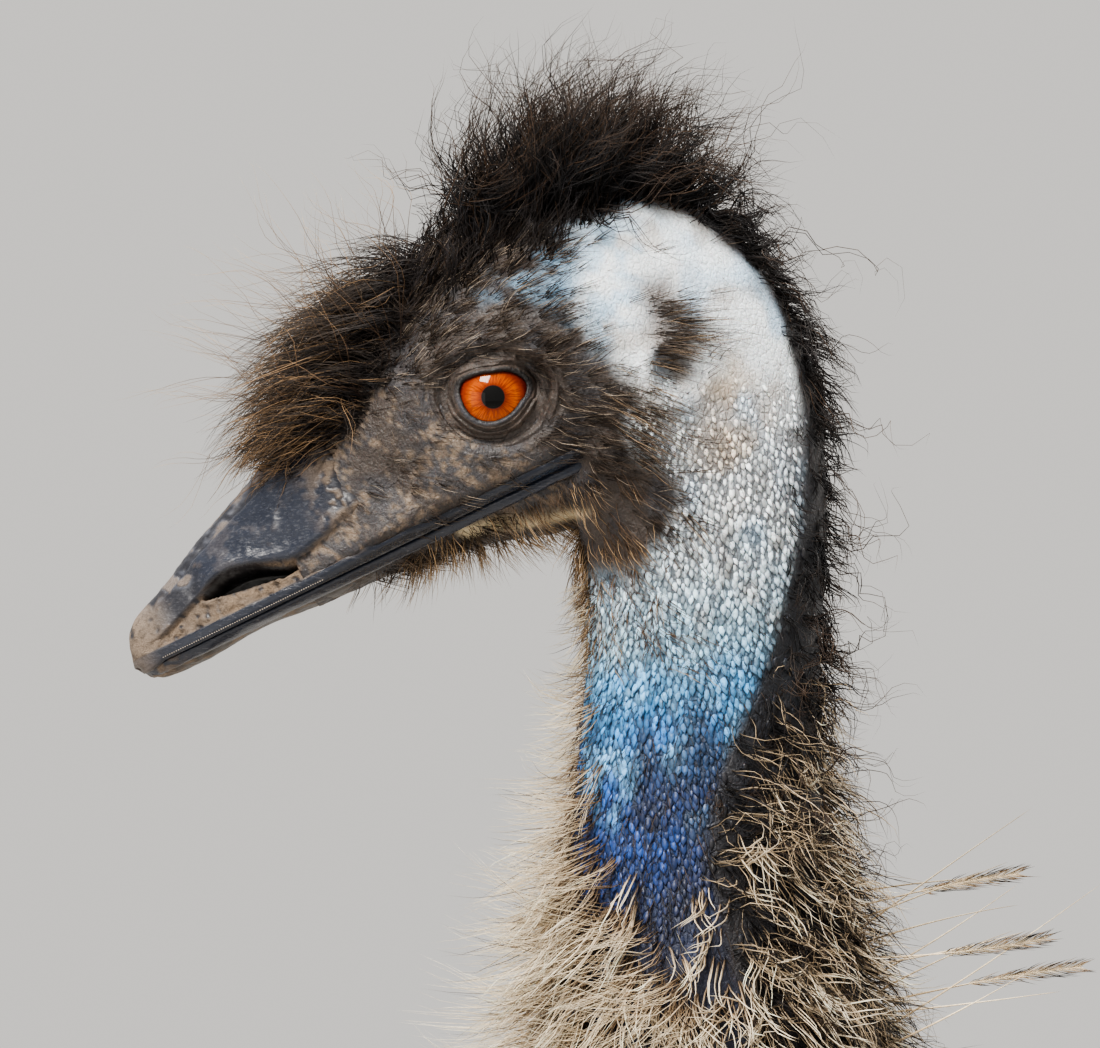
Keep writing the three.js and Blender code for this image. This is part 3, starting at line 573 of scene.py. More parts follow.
class Skin:
    """The bird's one skin, with the face sculpted in."""

    GROOVE_DEEP = 2.3
    EYE_WIDE = 8.9
    EYE_TALL = 6.6
    SOCKET = 1.35
    SOCKET_OUT = 21.5
    SOCKET_DEEP = 2.6
    NO_LIMIT = 99

    def __init__(self) -> None:
        """Lays out the rings and sculpts them."""
        top = np.array([ring.top for ring in RINGS], float)
        low = np.array([ring.low for ring in RINGS], float)
        steps = np.linalg.norm(np.diff(top, axis=0), axis=1)
        steps = (steps + np.linalg.norm(np.diff(low, axis=0), axis=1)) / 2
        at = np.concatenate([[0], np.cumsum(steps)])
        runs = [0.0]
        while runs[-1] < at[-1]:
            runs.append(runs[-1] + float(RING_STEP(runs[-1])))
        run = np.array(runs) * at[-1] / runs[-1]

        def by(values: Array) -> Array:
            """Values of the rings, read at the runs."""
            return along(list(zip(at, values)))(run)

        high = np.stack([by(top[:, 0]), by(top[:, 1])], axis=1)[:, None]
        deep = np.stack([by(low[:, 0]), by(low[:, 1])], axis=1)[:, None]
        seat = by(np.array([ring.seat for ring in RINGS]))[:, None, None]
        wide = by(np.array([ring.wide for ring in RINGS]))[:, None]
        pinch = by(np.array([ring.pinch for ring in RINGS]))[:, None]
        angle = np.arange(SKIN_COLUMNS) / SKIN_COLUMNS * TAU
        rise = np.sin(angle)[None, :]
        widest = deep + (high - deep) * seat
        reach = np.where((rise > 0)[..., None], high - widest, widest - deep)
        flat = widest + reach * rise[..., None]
        side = wide * np.cos(angle)[None, :] * (1 - pinch * np.maximum(0, rise))
        points = np.stack([flat[..., 0], side, flat[..., 1]], axis=-1)
        self.bare = Surface.of(points)
        self.surface = Surface.of(self.sculpted(self.bare))
        self.tree = self.tree_of(self.surface.points)

    @staticmethod
    def tree_of(points: Array) -> BVHTree:
        """A tree for casting rays onto rings of points."""
        rows, columns = points.shape[:2]
        quads = grid_faces(rows, columns)
        return BVHTree.FromPolygons(points.reshape(-1, 3).tolist(), quads.tolist())

    def sculpted(self, surface: Surface) -> Array:
        """The face's hollows, folds and grains, pushed into the plain tube."""
        p, n = surface.points, surface.normals
        ahead, above = to_head(p)
        out = np.abs(p[..., 1])
        lateral = smooth(8, 18, out)
        head = smooth(-30, -8, ahead) * smooth(60, 56, ahead)
        lift = np.zeros(p.shape[:2])
        # The mouth line, which lets the rims of the bill show.
        window = smooth(-17, -11, ahead) * lateral
        lift -= self.GROOVE_DEEP * bell(above, -1.3, 2.6) * window
        lift += 0.7 * bell(above, 4.6, 1.9) * window * smooth(62, 40, ahead)
        # The hollow of the lores, the brow, the cheek and the jaw.
        lift -= 2.2 * bell(ahead, 27, 10) * bell(above, 15, 7) * lateral
        lift += 1.6 * bell(ahead, 4, 13) * bell(above, 33, 4.5) * lateral
        lift += 1.5 * bell(ahead, -20, 11) * bell(above, -2, 7) * lateral
        lift -= 1.2 * bell(ahead, -14, 5) * bell(above, 4, 4) * lateral
        # Crusts of the lores.
        crust = grain(p, 2.6, 1) - 0.5 + 0.6 * (grain(p, 1.4, 2) - 0.5)
        bare_face = bell(ahead, 30, 20) * smooth(0, 5, above) * smooth(30, 20, above) * lateral
        lift += 0.9 * crust * bare_face
        # Folds of the throat and pebbles of the neck.
        drop = -p[..., 2]
        throat = bell(drop, 52, 16) * bell(p[..., 0], 36, 20)
        lift += 0.7 * np.sin(p[..., 0] / 1.5 + 0.08 * drop + 3 * grain(p, 18, 4)) * throat
        neck = smooth(0, 30, drop) * smooth(330, 250, drop)
        lift += 0.5 * (grain(p * [1.4, 1.4, 0.8], 2.2, 5) - 0.5) * neck
        lift += 0.25 * (grain(p, 2.0, 6) - 0.5) * head
        # The ear's hollow and rim.
        ear = np.hypot(p[..., 0] - 44, p[..., 2] - 6)
        lift += (1.4 * bell(ear, 7.5, 2.2) - 4.5 * bell(ear, 0, 4.2)) * lateral
        # Room behind the lids and the eye.
        gap = np.hypot(p[..., 0] / self.EYE_WIDE, p[..., 2] / self.EYE_TALL)
        room = smooth(2.05, 1.5, gap) * smooth(10, 16, out)
        moved = p + n * lift[..., None]
        sunk = (
            np.sign(p[..., 1])
            * np.minimum(np.abs(moved[..., 1]), np.where(gap < self.SOCKET, self.SOCKET_OUT, self.NO_LIMIT))
        )
        moved[..., 1] = sunk - np.sign(p[..., 1]) * self.SOCKET_DEEP * room * (gap >= self.SOCKET)
        return moved

    def cast(self, x: Array, z: Array, side: Side) -> Array:
        """How far out the skin stands at places of the side view."""
        out = []
        for a, b in zip(np.ravel(x), np.ravel(z)):
            hit = self.tree.ray_cast((a, side.value * 400.0, b), (0, -side.value, 0))[0]
            out.append(abs(hit.y) if hit else 0.0)
        return np.array(out).reshape(np.shape(x))

    def shape(self) -> Shape:
        """The skin as a closed mesh with its markings."""
        points, faces = closed_tube(self.surface.points)
        rows, columns = self.surface.points.shape[:2]
        row, column = np.divmod(np.arange(rows * columns), columns)
        patch = Roots(self.surface, row.astype(float), column.astype(float)).patch
        patch = np.concatenate([patch, [[0.5, 0.0], [0.5, 1.0]]])
        scaly = np.maximum(Marks.scaly(points), 0.14 * Marks.bare(points))
        return Shape(points, outward(points, faces), Marks.skin(points), {"scaly": scaly}, patch)


# Markings that skin and coat share, as soft zones of the side view and heights down the neck.


class Marks:
    """Where each colour of the bird lies."""

    WHITE: Colour = (0.86, 0.92, 0.96)
    PALE_BLUE: Colour = (0.27, 0.52, 0.78)
    DEEP_BLUE: Colour = (0.028, 0.095, 0.33)
    INK: Colour = (0.020, 0.024, 0.050)
    SLATE: Colour = (0.030, 0.030, 0.037)
    BROWN_GREY: Colour = (0.052, 0.040, 0.034)
    CREAM: Colour = (0.62, 0.51, 0.33)
    TAN: Colour = (0.62, 0.45, 0.28)
    CRUST: Colour = (0.21, 0.155, 0.11)
    BODY_SKIN: Colour = (0.050, 0.037, 0.028)

    CHEEK = [(19, 40), (34, 47), (47, 45), (61, 33), (71, 17), (77, -3), (78, -24), (74, -42),
             (62, -50), (46, -56), (26, -53), (30, -45), (37, -38), (42, -32), (46, -26), (42, -18),
             (36, -14), (33, -8), (35, -2), (31, 5), (25, 11), (22, 17), (18, 25)]
    FOREHEAD_BLUE = [(-2, 25), (2, 30), (17, 38), (30, 46), (40, 36), (36, 20), (26, 13), (14, 24)]
    LORES = [(-60, -10), (-40, 6), (-20, 4), (-8, -2), (6, -12), (20, -16), (14, -30), (-10, -26),
             (-40, -48), (-62, -44)]
    JAW_LINE = [(-10, -31.0), (4, -28.4), (16, -26.8), (23, -27.4), (17, -29.8), (8, -31.8), (-6, -34.8)]
    EAR_STAIN = [(46, 12), (60, 10), (67, -4), (64, -18), (56, -24), (48, -16)]
    EAR_SHADE = [(34, 28), (42, 30), (49, 16), (48, 4), (38, 6)]
    NAPE = ((-45, 47), (-32, 62), (-14, 71), (6, 74), (24, 73.6), (48, 69), (72, 61), (96, 52),
            (120, 52), (170, 70))
    DOWN_NECK = staticmethod(colours(
        (28, WHITE), (46, (0.62, 0.77, 0.88)), (60, (0.36, 0.60, 0.80)), (70, (0.12, 0.38, 0.70)),
        (84, (0.06, 0.22, 0.55)), (98, DEEP_BLUE), (135, INK),
    ))

    @classmethod
    def nape(cls, p: Array) -> Array:
        """How much of the black mane grows at places."""
        inner = along(cls.NAPE)(-p[:, 2] + 5 * (grain(p, 5, 22) - 0.5))
        return smooth(-1.5, 2.5, p[:, 0] - inner) * smooth(-49, -43, -p[:, 2])

    @classmethod
    def bare(cls, p: Array) -> Array:
        """How white or blue the skin is, free of brown hair."""
        x, z = p[:, 0], p[:, 2]
        moved = x + 5 * (grain(p, 6, 11) - 0.5), z + 5 * (grain(p, 6, 12) - 0.5)
        white = within(cls.CHEEK, *moved, 3.4) * smooth(2, 12, np.abs(p[:, 1]))
        under = smooth(38, 50, -z + 0.35 * np.maximum(0, x - 30)) * smooth(5, 17, x)
        return np.maximum(white, under) * (1 - 0.9 * cls.nape(p))

    @classmethod
    def skin(cls, p: Array) -> Array:
        """The skin's colour at places."""
        x, z = p[:, 0], p[:, 2]
        drop, out = -z, np.abs(p[:, 1])
        tint = np.zeros((len(p), 3)) + np.array(cls.BROWN_GREY)
        tint = mix(tint, cls.SLATE, smooth(0.4, 0.7, grain(p, 5, 13)) * 0.7)
        blue_face = within(cls.FOREHEAD_BLUE, x, z, 6) * smooth(2, 12, out)
        pale = cls.DOWN_NECK(drop + 9 * (grain(p, 9, 14) - 0.5))
        cloud = smooth(0.5, 0.85, grain(p * [1, 1, 0.7], 7, 16))
        pale = mix(pale, cls.PALE_BLUE, cloud * 0.55 * smooth(66, 44, drop))
        fleck = smooth(0.55, 0.78, grain(p * [1, 1, 0.6], 4.5, 15))
        pale = mix(pale, (0.22, 0.50, 0.80), fleck * 0.8 * smooth(58, 70, drop) * smooth(112, 88, drop))
        murk = smooth(0.52, 0.74, grain(p * [1, 1, 0.6], 6, 20))
        pale = mix(pale, cls.INK, murk * 0.75 * smooth(58, 84, drop))
        pale = mix(pale, (0.42, 0.36, 0.30), 0.5 * smooth(0.6, 0.85, grain(p, 6, 21)) * smooth(70, 50, drop))
        tint = mix(tint, pale, cls.bare(p))
        tint = mix(tint, (0.36, 0.62, 0.88), blue_face * 0.6 * smooth(0.35, 0.65, grain(p, 3.4, 17)))
        tint = mix(tint, (0.13, 0.10, 0.085), within(cls.EAR_SHADE, x, z, 4) * 0.85)
        tint = mix(tint, cls.TAN, within(cls.EAR_STAIN, x, z, 6) * 0.6 * smooth(0.25, 0.6, grain(p, 5, 23)))
        tint = mix(tint, np.array(cls.SLATE) * 0.5, cls.nape(p) * 0.9)
        tint = mix(tint, cls.CREAM, within(cls.JAW_LINE, x, z, 1.4) * smooth(8, 14, out) * 0.9)
        dust = (
            within(cls.LORES, x, z, 4)
            * smooth(0.56, 0.76, grain(p, 1.1, 18) * 0.65 + grain(p, 4.5, 19) * 0.45)
        )
        tint = mix(
            tint, (0.062, 0.060, 0.066),
            within(cls.LORES, x, z, 4) * smooth(0.35, 0.65, grain(p, 7, 24)) * 0.7
        )
        tint = mix(tint, cls.CRUST, dust * 0.85)
        return mix(tint, cls.BODY_SKIN, smooth(150, 260, drop))

    @classmethod
    def scaly(cls, p: Array) -> Array:
        """How thickly papillae stand on the skin."""
        drop = -p[:, 2]
        return cls.bare(p) * smooth(-14, 20, drop) * smooth(140, 115, drop)


# Finishes: each one builds its material.


class Paint:
    """Short ways to write a material's nodes."""

    def __init__(self, name: str) -> None:
        """Starts an empty material with a surface shader."""
        self.material = bpy.data.materials.new(name)
        self.material.use_nodes = True
        self.tree = self.material.node_tree
        self.tree.nodes.clear()
        self.shader = self.node("ShaderNodeBsdfPrincipled")
        output = self.node("ShaderNodeOutputMaterial")
        self.link(self.shader.outputs[0], output.inputs[0])

    def node(self, kind: str, **settings: object) -> bpy.types.Node:
        """Adds a node with settings."""
        made = self.tree.nodes.new(kind)
        for key, value in settings.items():
            setattr(made, key, value)
        return made

    def link(self, start: Socket, end: Socket) -> None:
        """Joins two sockets."""
        self.tree.links.new(start, end)

    def feed(self, socket: Socket, value: object) -> None:
        """Sets a socket to a number or colour, or joins another to it."""
        if isinstance(value, Socket):
            self.link(value, socket)
        elif isinstance(value, tuple) and len(value) == 3 and socket.type == "RGBA":
            socket.default_value = (*value, 1.0)
        else:
            socket.default_value = value

    def named(self, name: str, socket: str = "Fac") -> Socket:
        """Reads one of the mesh's own attributes."""
        return self.node("ShaderNodeAttribute", attribute_name=name).outputs[socket]

    def where(self) -> Socket:
        """The place on the object."""
        return self.node("ShaderNodeTexCoord").outputs["Object"]

    def stretched(self, scale: tuple[float, float, float], turn: float = 0.0) -> Socket:
        """The place on the object, stretched and turned about Y."""
        mapping = self.node("ShaderNodeMapping")
        self.link(self.where(), mapping.inputs["Vector"])
        mapping.inputs["Scale"].default_value = scale
        mapping.inputs["Rotation"].default_value = (0, turn, 0)
        return mapping.outputs[0]

    def noise(
        self, scale: float, detail: float = 4, rough: float = 0.55, at: Optional[Socket] = None
    ) -> Socket:
        """Cloudy values from 0 to 1; the scale is in patches to the metre."""
        made = self.node("ShaderNodeTexNoise")
        self.link(at or self.where(), made.inputs["Vector"])
        made.inputs["Scale"].default_value = scale
        made.inputs["Detail"].default_value = detail
        made.inputs["Roughness"].default_value = rough
        return made.outputs["Fac"]

    def cells(self, scale: float, at: Socket) -> Socket:
        """Distances to the edges in a pattern of cells."""
        made = self.node("ShaderNodeTexVoronoi", feature="DISTANCE_TO_EDGE")
        self.link(at, made.inputs["Vector"])
        made.inputs["Scale"].default_value = scale
        return made.outputs["Distance"]

    def sum(self, kind: str, a: object, b: object = 0.0, clamp: bool = False) -> Socket:
        """One step of arithmetic."""
        made = self.node("ShaderNodeMath", operation=kind, use_clamp=clamp)
        self.feed(made.inputs[0], a)
        self.feed(made.inputs[1], b)
        return made.outputs[0]

    def times(self, a: object, b: object) -> Socket:
        """A product of two values."""
        return self.sum("MULTIPLY", a, b)

    def step(self, value: Socket, low: float, high: float, start: float = 0.0, end: float = 1.0) -> Socket:
        """A soft step of a value from start to end."""
        made = self.node("ShaderNodeMapRange", interpolation_type="SMOOTHSTEP")
        self.link(value, made.inputs["Value"])
        for key, number in zip(("From Min", "From Max", "To Min", "To Max"), (low, high, start, end)):
            made.inputs[key].default_value = number
        return made.outputs[0]

    def blend(self, share: object, a: object, b: object, kind: str = "MIX") -> Socket:
        """A blend of two colours."""
        made = self.node("ShaderNodeMix", data_type="RGBA", blend_type=kind)
        self.feed(made.inputs["Factor"], share)
        self.feed(made.inputs["A"], a)
        self.feed(made.inputs["B"], b)
        return made.outputs["Result"]

    def bump(
        self, height: Socket, depth: float, strength: float = 1.0, after: Optional[Socket] = None
    ) -> Socket:
        """Relief from a height; depth is in metres."""
        made = self.node("ShaderNodeBump")
        made.inputs["Strength"].default_value = strength
        made.inputs["Distance"].default_value = depth
        self.link(height, made.inputs["Height"])
        if after is not None:
            self.link(after, made.inputs["Normal"])
        return made.outputs[0]

    def flecked(
        self, tint: object, value: Socket, low: float, high: float, most: float, other: Colour,
        kind: str = "MULTIPLY",
    ) -> Socket:
        """A colour with flecks of another one.

        Args:
            tint: The colour.
            value: What decides where the flecks are.
            low: Up to this value there are none.
            high: From this value on they are full.
            most: How much of the other colour a full fleck holds.
            other: The other colour.
            kind: How the two are blended.

        Returns:
            The flecked colour.
        """
        return self.blend(self.step(value, low, high, 0.0, most), tint, other, kind)

    def dress(self, **inputs: object) -> Material:
        """Feeds the surface shader and returns the material."""
        for key, value in inputs.items():
            self.feed(self.shader.inputs[key.replace("_", " ")], value)
        return self.material


@dataclass(frozen=True)
class SkinFinish:
    """Bare skin: pebbled on the neck, fine and dusty on the face."""

    name: str = "skin"
    pebbles: float = 560.0
    relief: float = 0.0005

    def material(self) -> Material:
        """Builds the skin's material."""
        paint = Paint(self.name)
        tint = paint.named("tint", "Color")
        scaly = paint.named("scaly")
        edge = paint.cells(self.pebbles, paint.stretched((1.25, 1.25, 0.8)))
        seam = paint.times(paint.step(edge, 0.02, 0.2, 1.0, 0.0), paint.step(scaly, 0.0, 0.5, 0.25, 1.0))
        fine = paint.noise(1500, 3)
        tint = paint.blend(paint.times(scaly, 0.66), tint, (0.035, 0.045, 0.07))
        tint = paint.blend(paint.times(seam, 0.16), tint, (0.03, 0.03, 0.04))
        tint = paint.flecked(tint, fine, 0.4, 0.75, 0.35, (0.06, 0.05, 0.05))
        lumps = paint.times(paint.noise(650, 4, 0.62), paint.step(scaly, 0.0, 0.2, 1.5, 0.3))
        height = paint.sum(
            "SUBTRACT", paint.sum("ADD", paint.times(fine, 0.5), lumps), paint.times(seam, 0.6)
        )
        rough = paint.step(paint.noise(500), 0.3, 0.7, 0.45, 0.7)
        return paint.dress(
            Base_Color=tint,
            Roughness=rough,
            Normal=paint.bump(height, self.relief, 0.9),
            Subsurface_Weight=0.05,
            Subsurface_Scale=0.002,
        )


@dataclass(frozen=True)
class PapillaFinish:
    """The waxy papillae of the neck, pale on top and dark round their roots as painted shade."""

    def material(self) -> Material:
        """Builds the papillae's material."""
        paint = Paint("papillae")
        tint = paint.named("tint", "Color")
        high = paint.named("high")
        fine = paint.noise(1300, 3)
        # Painted shade: each papilla darkens towards its roots, low by the skin, and stays pale on top.
        root = paint.blend(0.72, tint, (0.025, 0.032, 0.055))
        tint = paint.blend(paint.step(high, 0.0, 0.75), root, tint)
        tint = paint.flecked(tint, fine, 0.4, 0.72, 0.4, (0.10, 0.10, 0.12))
        rough = paint.step(fine, 0.3, 0.7, 0.38, 0.6)
        return paint.dress(
            Base_Color=tint, Roughness=rough, Normal=paint.bump(fine, 0.0002, 0.6),
            Subsurface_Weight=0.08, Subsurface_Scale=0.001,
        )


@dataclass(frozen=True)
class CoatFinish:
    """Hair and feathers, coloured strand by strand."""

    name: str = "plumage"
    rough: float = 0.55
    gloss: float = 0.4

    def material(self) -> Material:
        """Builds the material of the hair or feathers."""
        paint = Paint(self.name)
        tint = paint.named("tint", "Color")
        fleck = paint.noise(900, 2)
        tint = paint.flecked(tint, fleck, 0.3, 0.75, 0.35, (0.35, 0.3, 0.26))
        return paint.dress(Base_Color=tint, Roughness=self.rough, Specular_IOR_Level=self.gloss)


@dataclass(frozen=True)
class HornFinish:
    """Dark horn with dust in its hollows and fine scratches along it."""

    name: str = "bill_horn"
    scratch: Colour = (0.17, 0.17, 0.19)
    shadow: Colour = (0.045, 0.032, 0.024)
    turn: float = -BILL_DIP

    def material(self) -> Material:
        """Builds the horn's material."""
        paint = Paint(self.name)
        tint = paint.named("tint", "Color")
        dust = paint.named("dust")
        gloss = paint.named("gloss")
        clean = paint.sum("SUBTRACT", 1.0, dust, clamp=True)
        streak = paint.noise(1700, 4, 0.6, paint.stretched((0.14, 1.0, 1.0), self.turn))
        scratched = paint.times(paint.step(streak, 0.54, 0.80, 0.0, 0.36), clean)
        tint = paint.blend(scratched, tint, self.scratch)
        grains = paint.noise(2400, 3, 0.65)
        lumps = paint.noise(620, 4, 0.6)
        dirty = paint.times(paint.step(lumps, 0.44, 0.68), dust)
        tint = paint.blend(paint.times(dirty, 0.6), tint, self.shadow)
        tint = paint.flecked(tint, grains, 0.4, 0.75, 0.5, (0.22, 0.2, 0.2))
        rough = paint.sum("ADD", paint.step(streak, 0.3, 0.7, 0.33, 0.5), paint.times(dust, 0.36))
        rough = paint.sum("SUBTRACT", rough, paint.times(gloss, 0.22), clamp=True)
        relief = paint.bump(streak, 0.00018, 0.6)
        relief = paint.bump(paint.times(paint.sum("ADD", grains, lumps), dust), 0.0006, 0.8, relief)
        return paint.dress(Base_Color=tint, Roughness=rough, Normal=relief)


@dataclass(frozen=True)
class EyeFinish:
    """A wet orange eye with a round dark pupil."""

    pupil: float = 2.8
    # deep: the dark red of the iris's fibres, also used for the painted shadow of the upper lid over the
    # iris.
    deep: Colour = (0.11, 0.009, 0.0008)

    def material(self) -> Material:
        """Builds the eye's material from how far each point lies from its middle."""
        paint = Paint("eye")
        ring = paint.named("ring")
        spoke = paint.node("ShaderNodeCombineXYZ")
        paint.link(paint.named("spoke_x"), spoke.inputs[0])
        high = paint.named("spoke_z")
        paint.link(high, spoke.inputs[1])
        paint.link(paint.times(ring, 0.12), spoke.inputs[2])
        fibre = paint.noise(3.2, 5, 0.62, spoke.outputs[0])
        wave = paint.sum("ADD", ring, paint.times(paint.sum("SUBTRACT", fibre, 0.5), 1.1))
        ramp = paint.node("ShaderNodeValToRGB")
        paint.link(paint.sum("DIVIDE", wave, 10.0), ramp.inputs[0])
        stops = [
            (0.30, (0.16, 0.018, 0.0008)),
            (0.42, (0.38, 0.062, 0.0012)),
            (0.56, (0.50, 0.098, 0.0020)),
            (0.68, (0.26, 0.030, 0.0010)),
            (0.78, (0.07, 0.004, 0.0008)),
            (0.88, (0.006, 0.002, 0.001)),
        ]
        band = ramp.color_ramp
        while len(band.elements) < len(stops):
            band.elements.new(0.5)
        for element, (place, colour) in zip(band.elements, stops):
            element.position = place
            element.color = (*colour, 1)
        streak = paint.times(paint.step(fibre, 0.58, 0.40, 0.0, 0.65), paint.step(ring, 7.6, 6.8))
        tint = paint.blend(streak, ramp.outputs[0], self.deep)
        # Painted shadow of the upper lid: the iris darkens to the deep colour towards its top.
        lid_shadow = paint.times(paint.step(high, 0.5, 4.6), paint.step(ring, 3.4, 6.8, 0.0, 0.8))
        tint = paint.blend(lid_shadow, tint, self.deep)
        open_dark = paint.step(ring, self.pupil + 0.12, self.pupil - 0.12)
        tint = paint.blend(open_dark, tint, (0.0006, 0.0006, 0.0006))
        return paint.dress(
            Base_Color=tint, Roughness=0.6, Specular_IOR_Level=0.05,
            Coat_Weight=1.0, Coat_Roughness=0.012, Coat_IOR=1.34,
        )


@dataclass(frozen=True)
class ScaleFinish:
    """Grey-brown scales of the legs, dusty between."""

    name: str = "leg_scales"

    def material(self) -> Material:
        """Builds the material of the legs."""
        paint = Paint(self.name)
        tint = paint.named("tint", "Color")
        cloud = paint.noise(60, 5)
        tint = paint.flecked(tint, cloud, 0.4, 0.7, 0.5, (0.20, 0.165, 0.13), "MIX")
        fine = paint.noise(700, 4)
        tint = paint.flecked(tint, fine, 0.4, 0.7, 0.4, (0.04, 0.035, 0.03), "MIX")
        rough = paint.step(fine, 0.3, 0.7, 0.45, 0.75)
        return paint.dress(Base_Color=tint, Roughness=rough, Normal=paint.bump(fine, 0.0005, 0.6))


@dataclass(frozen=True)
class FloorFinish:
    """A plain pale floor."""

    tint: Colour = (0.62, 0.60, 0.57)

    def material(self) -> Material:
        """Builds the floor's material."""
        paint = Paint("floor")
        cloud = paint.noise(3, 3)
        tint = paint.flecked(self.tint, cloud, 0.3, 0.7, 0.05, (0.5, 0.48, 0.45), "MIX")
        return paint.dress(Base_Color=tint, Roughness=0.8)


# Geometry nodes for what stands in numbers on the skin or follows a line.


class Growth:
    """Short ways to write a tree of geometry nodes with named inputs."""

    def __init__(self, name: str, **inputs: str) -> None:
        """Starts a tree that takes a bed and the named inputs, each given as its kind."""
        self.tree = bpy.data.node_groups.new(name, "GeometryNodeTree")
        face = self.tree.interface
        face.new_socket("Bed", in_out="INPUT", socket_type="NodeSocketGeometry")
        self.sockets: dict[str, str] = {}
        for key, kind in inputs.items():
            made = face.new_socket(key, in_out="INPUT", socket_type="NodeSocket" + kind)
            self.sockets[key] = made.identifier
        face.new_socket("Grown", in_out="OUTPUT", socket_type="NodeSocketGeometry")
        self.start = self.tree.nodes.new("NodeGroupInput")

    def given(self, key: str) -> Socket:
        """One of the tree's own inputs."""
        return self.start.outputs[key]

    def node(self, kind: str, feeds: dict[object, object], **settings: object) -> bpy.types.Node:
        """Adds a node.

        Args:
            kind: The node's type.
            feeds: What goes into its inputs, by their name or number.
            settings: The node's own settings.

        Returns:
            The node.
        """
        made = self.tree.nodes.new(kind)
        for key, value in settings.items():
            setattr(made, key, value)
        for key, value in feeds.items():
            if isinstance(value, Socket):
                self.tree.links.new(value, made.inputs[key])
            else:
                made.inputs[key].default_value = value
        return made

    def read(self, name: str, kind: str) -> Socket:
        """Reads an attribute of the bed."""
        return self.node(
            "GeometryNodeInputNamedAttribute", {"Name": name}, data_type=kind
        ).outputs["Attribute"]

    def math(self, kind: str, a: object, b: object) -> Socket:
        """A sum, difference or product of two numbers."""
        return self.node("ShaderNodeMath", {0: a, 1: b}, operation=kind).outputs[0]

    def scaled(self, vector: Socket, size: object) -> Socket:
        """A vector times a number."""
        return self.node("ShaderNodeVectorMath", {0: vector, 3: size}, operation="SCALE").outputs[0]

    def random(self, low: object, high: object, seed: int) -> Socket:
        """A random number for each copy, on top of the tree's seed."""
        own = self.node("FunctionNodeRandomValue", {}, data_type="FLOAT")
        for number, value in ((2, low), (3, high)):
            if isinstance(value, Socket):
                self.tree.links.new(value, own.inputs[number])
            else:
                own.inputs[number].default_value = value
        self.tree.links.new(self.math("ADD", self.given("Seed"), float(seed)), own.inputs["Seed"])
        return own.outputs[1]

    def ended(self, copies: Socket) -> "Growth":
        """Turns the copies into one mesh, with its finish and its place on the unwrap."""
        real = self.node("GeometryNodeRealizeInstances", {"Geometry": copies}).outputs[0]
        spot = self.scaled(self.read("spot", "FLOAT_VECTOR"), TUFT_PATCH)
        both = {0: self.read("patch", "FLOAT_VECTOR"), 1: spot}
        patch = self.node("ShaderNodeVectorMath", both, operation="ADD")
        named = {"Geometry": real, "Name": "OFBake", "Value": patch.outputs[0]}
        real = self.node(
            "GeometryNodeStoreNamedAttribute", named, data_type="FLOAT2", domain="CORNER"
        ).outputs[0]
        real = self.node("GeometryNodeSetShadeSmooth", {"Geometry": real}).outputs[0]
        real = self.node(
            "GeometryNodeSetMaterial", {"Geometry": real, "Material": self.given("Finish")}
        ).outputs[0]
        end = self.tree.nodes.new("NodeGroupOutput")
        self.tree.links.new(real, end.inputs["Grown"])
        return self

    def grown(self, piece: Thing, copied: Thing, **values: object) -> Thing:
        """Runs the tree on a bed and leaves the result as the bed's own plain mesh.

        Args:
            piece: The bed.
            copied: The small shape, which is thrown away afterwards.
            values: The tree's inputs by name.

        Returns:
            The piece.
        """
        modifier = piece.modifiers.new("grown", "NODES")
        modifier.node_group = self.tree
        for key, value in values.items():
            modifier[self.sockets[key]] = value
        modifier[self.sockets["Pip"]] = copied
        graph = bpy.context.evaluated_depsgraph_get()
        graph.update()
        mesh = bpy.data.meshes.new_from_object(piece.evaluated_get(graph), depsgraph=graph)
        piece.modifiers.clear()
        old, piece.data = piece.data, mesh
        bpy.data.meshes.remove(old)
        small = copied.data
        bpy.data.objects.remove(copied)
        bpy.data.meshes.remove(small)
        mesh.name = piece.name
        return piece


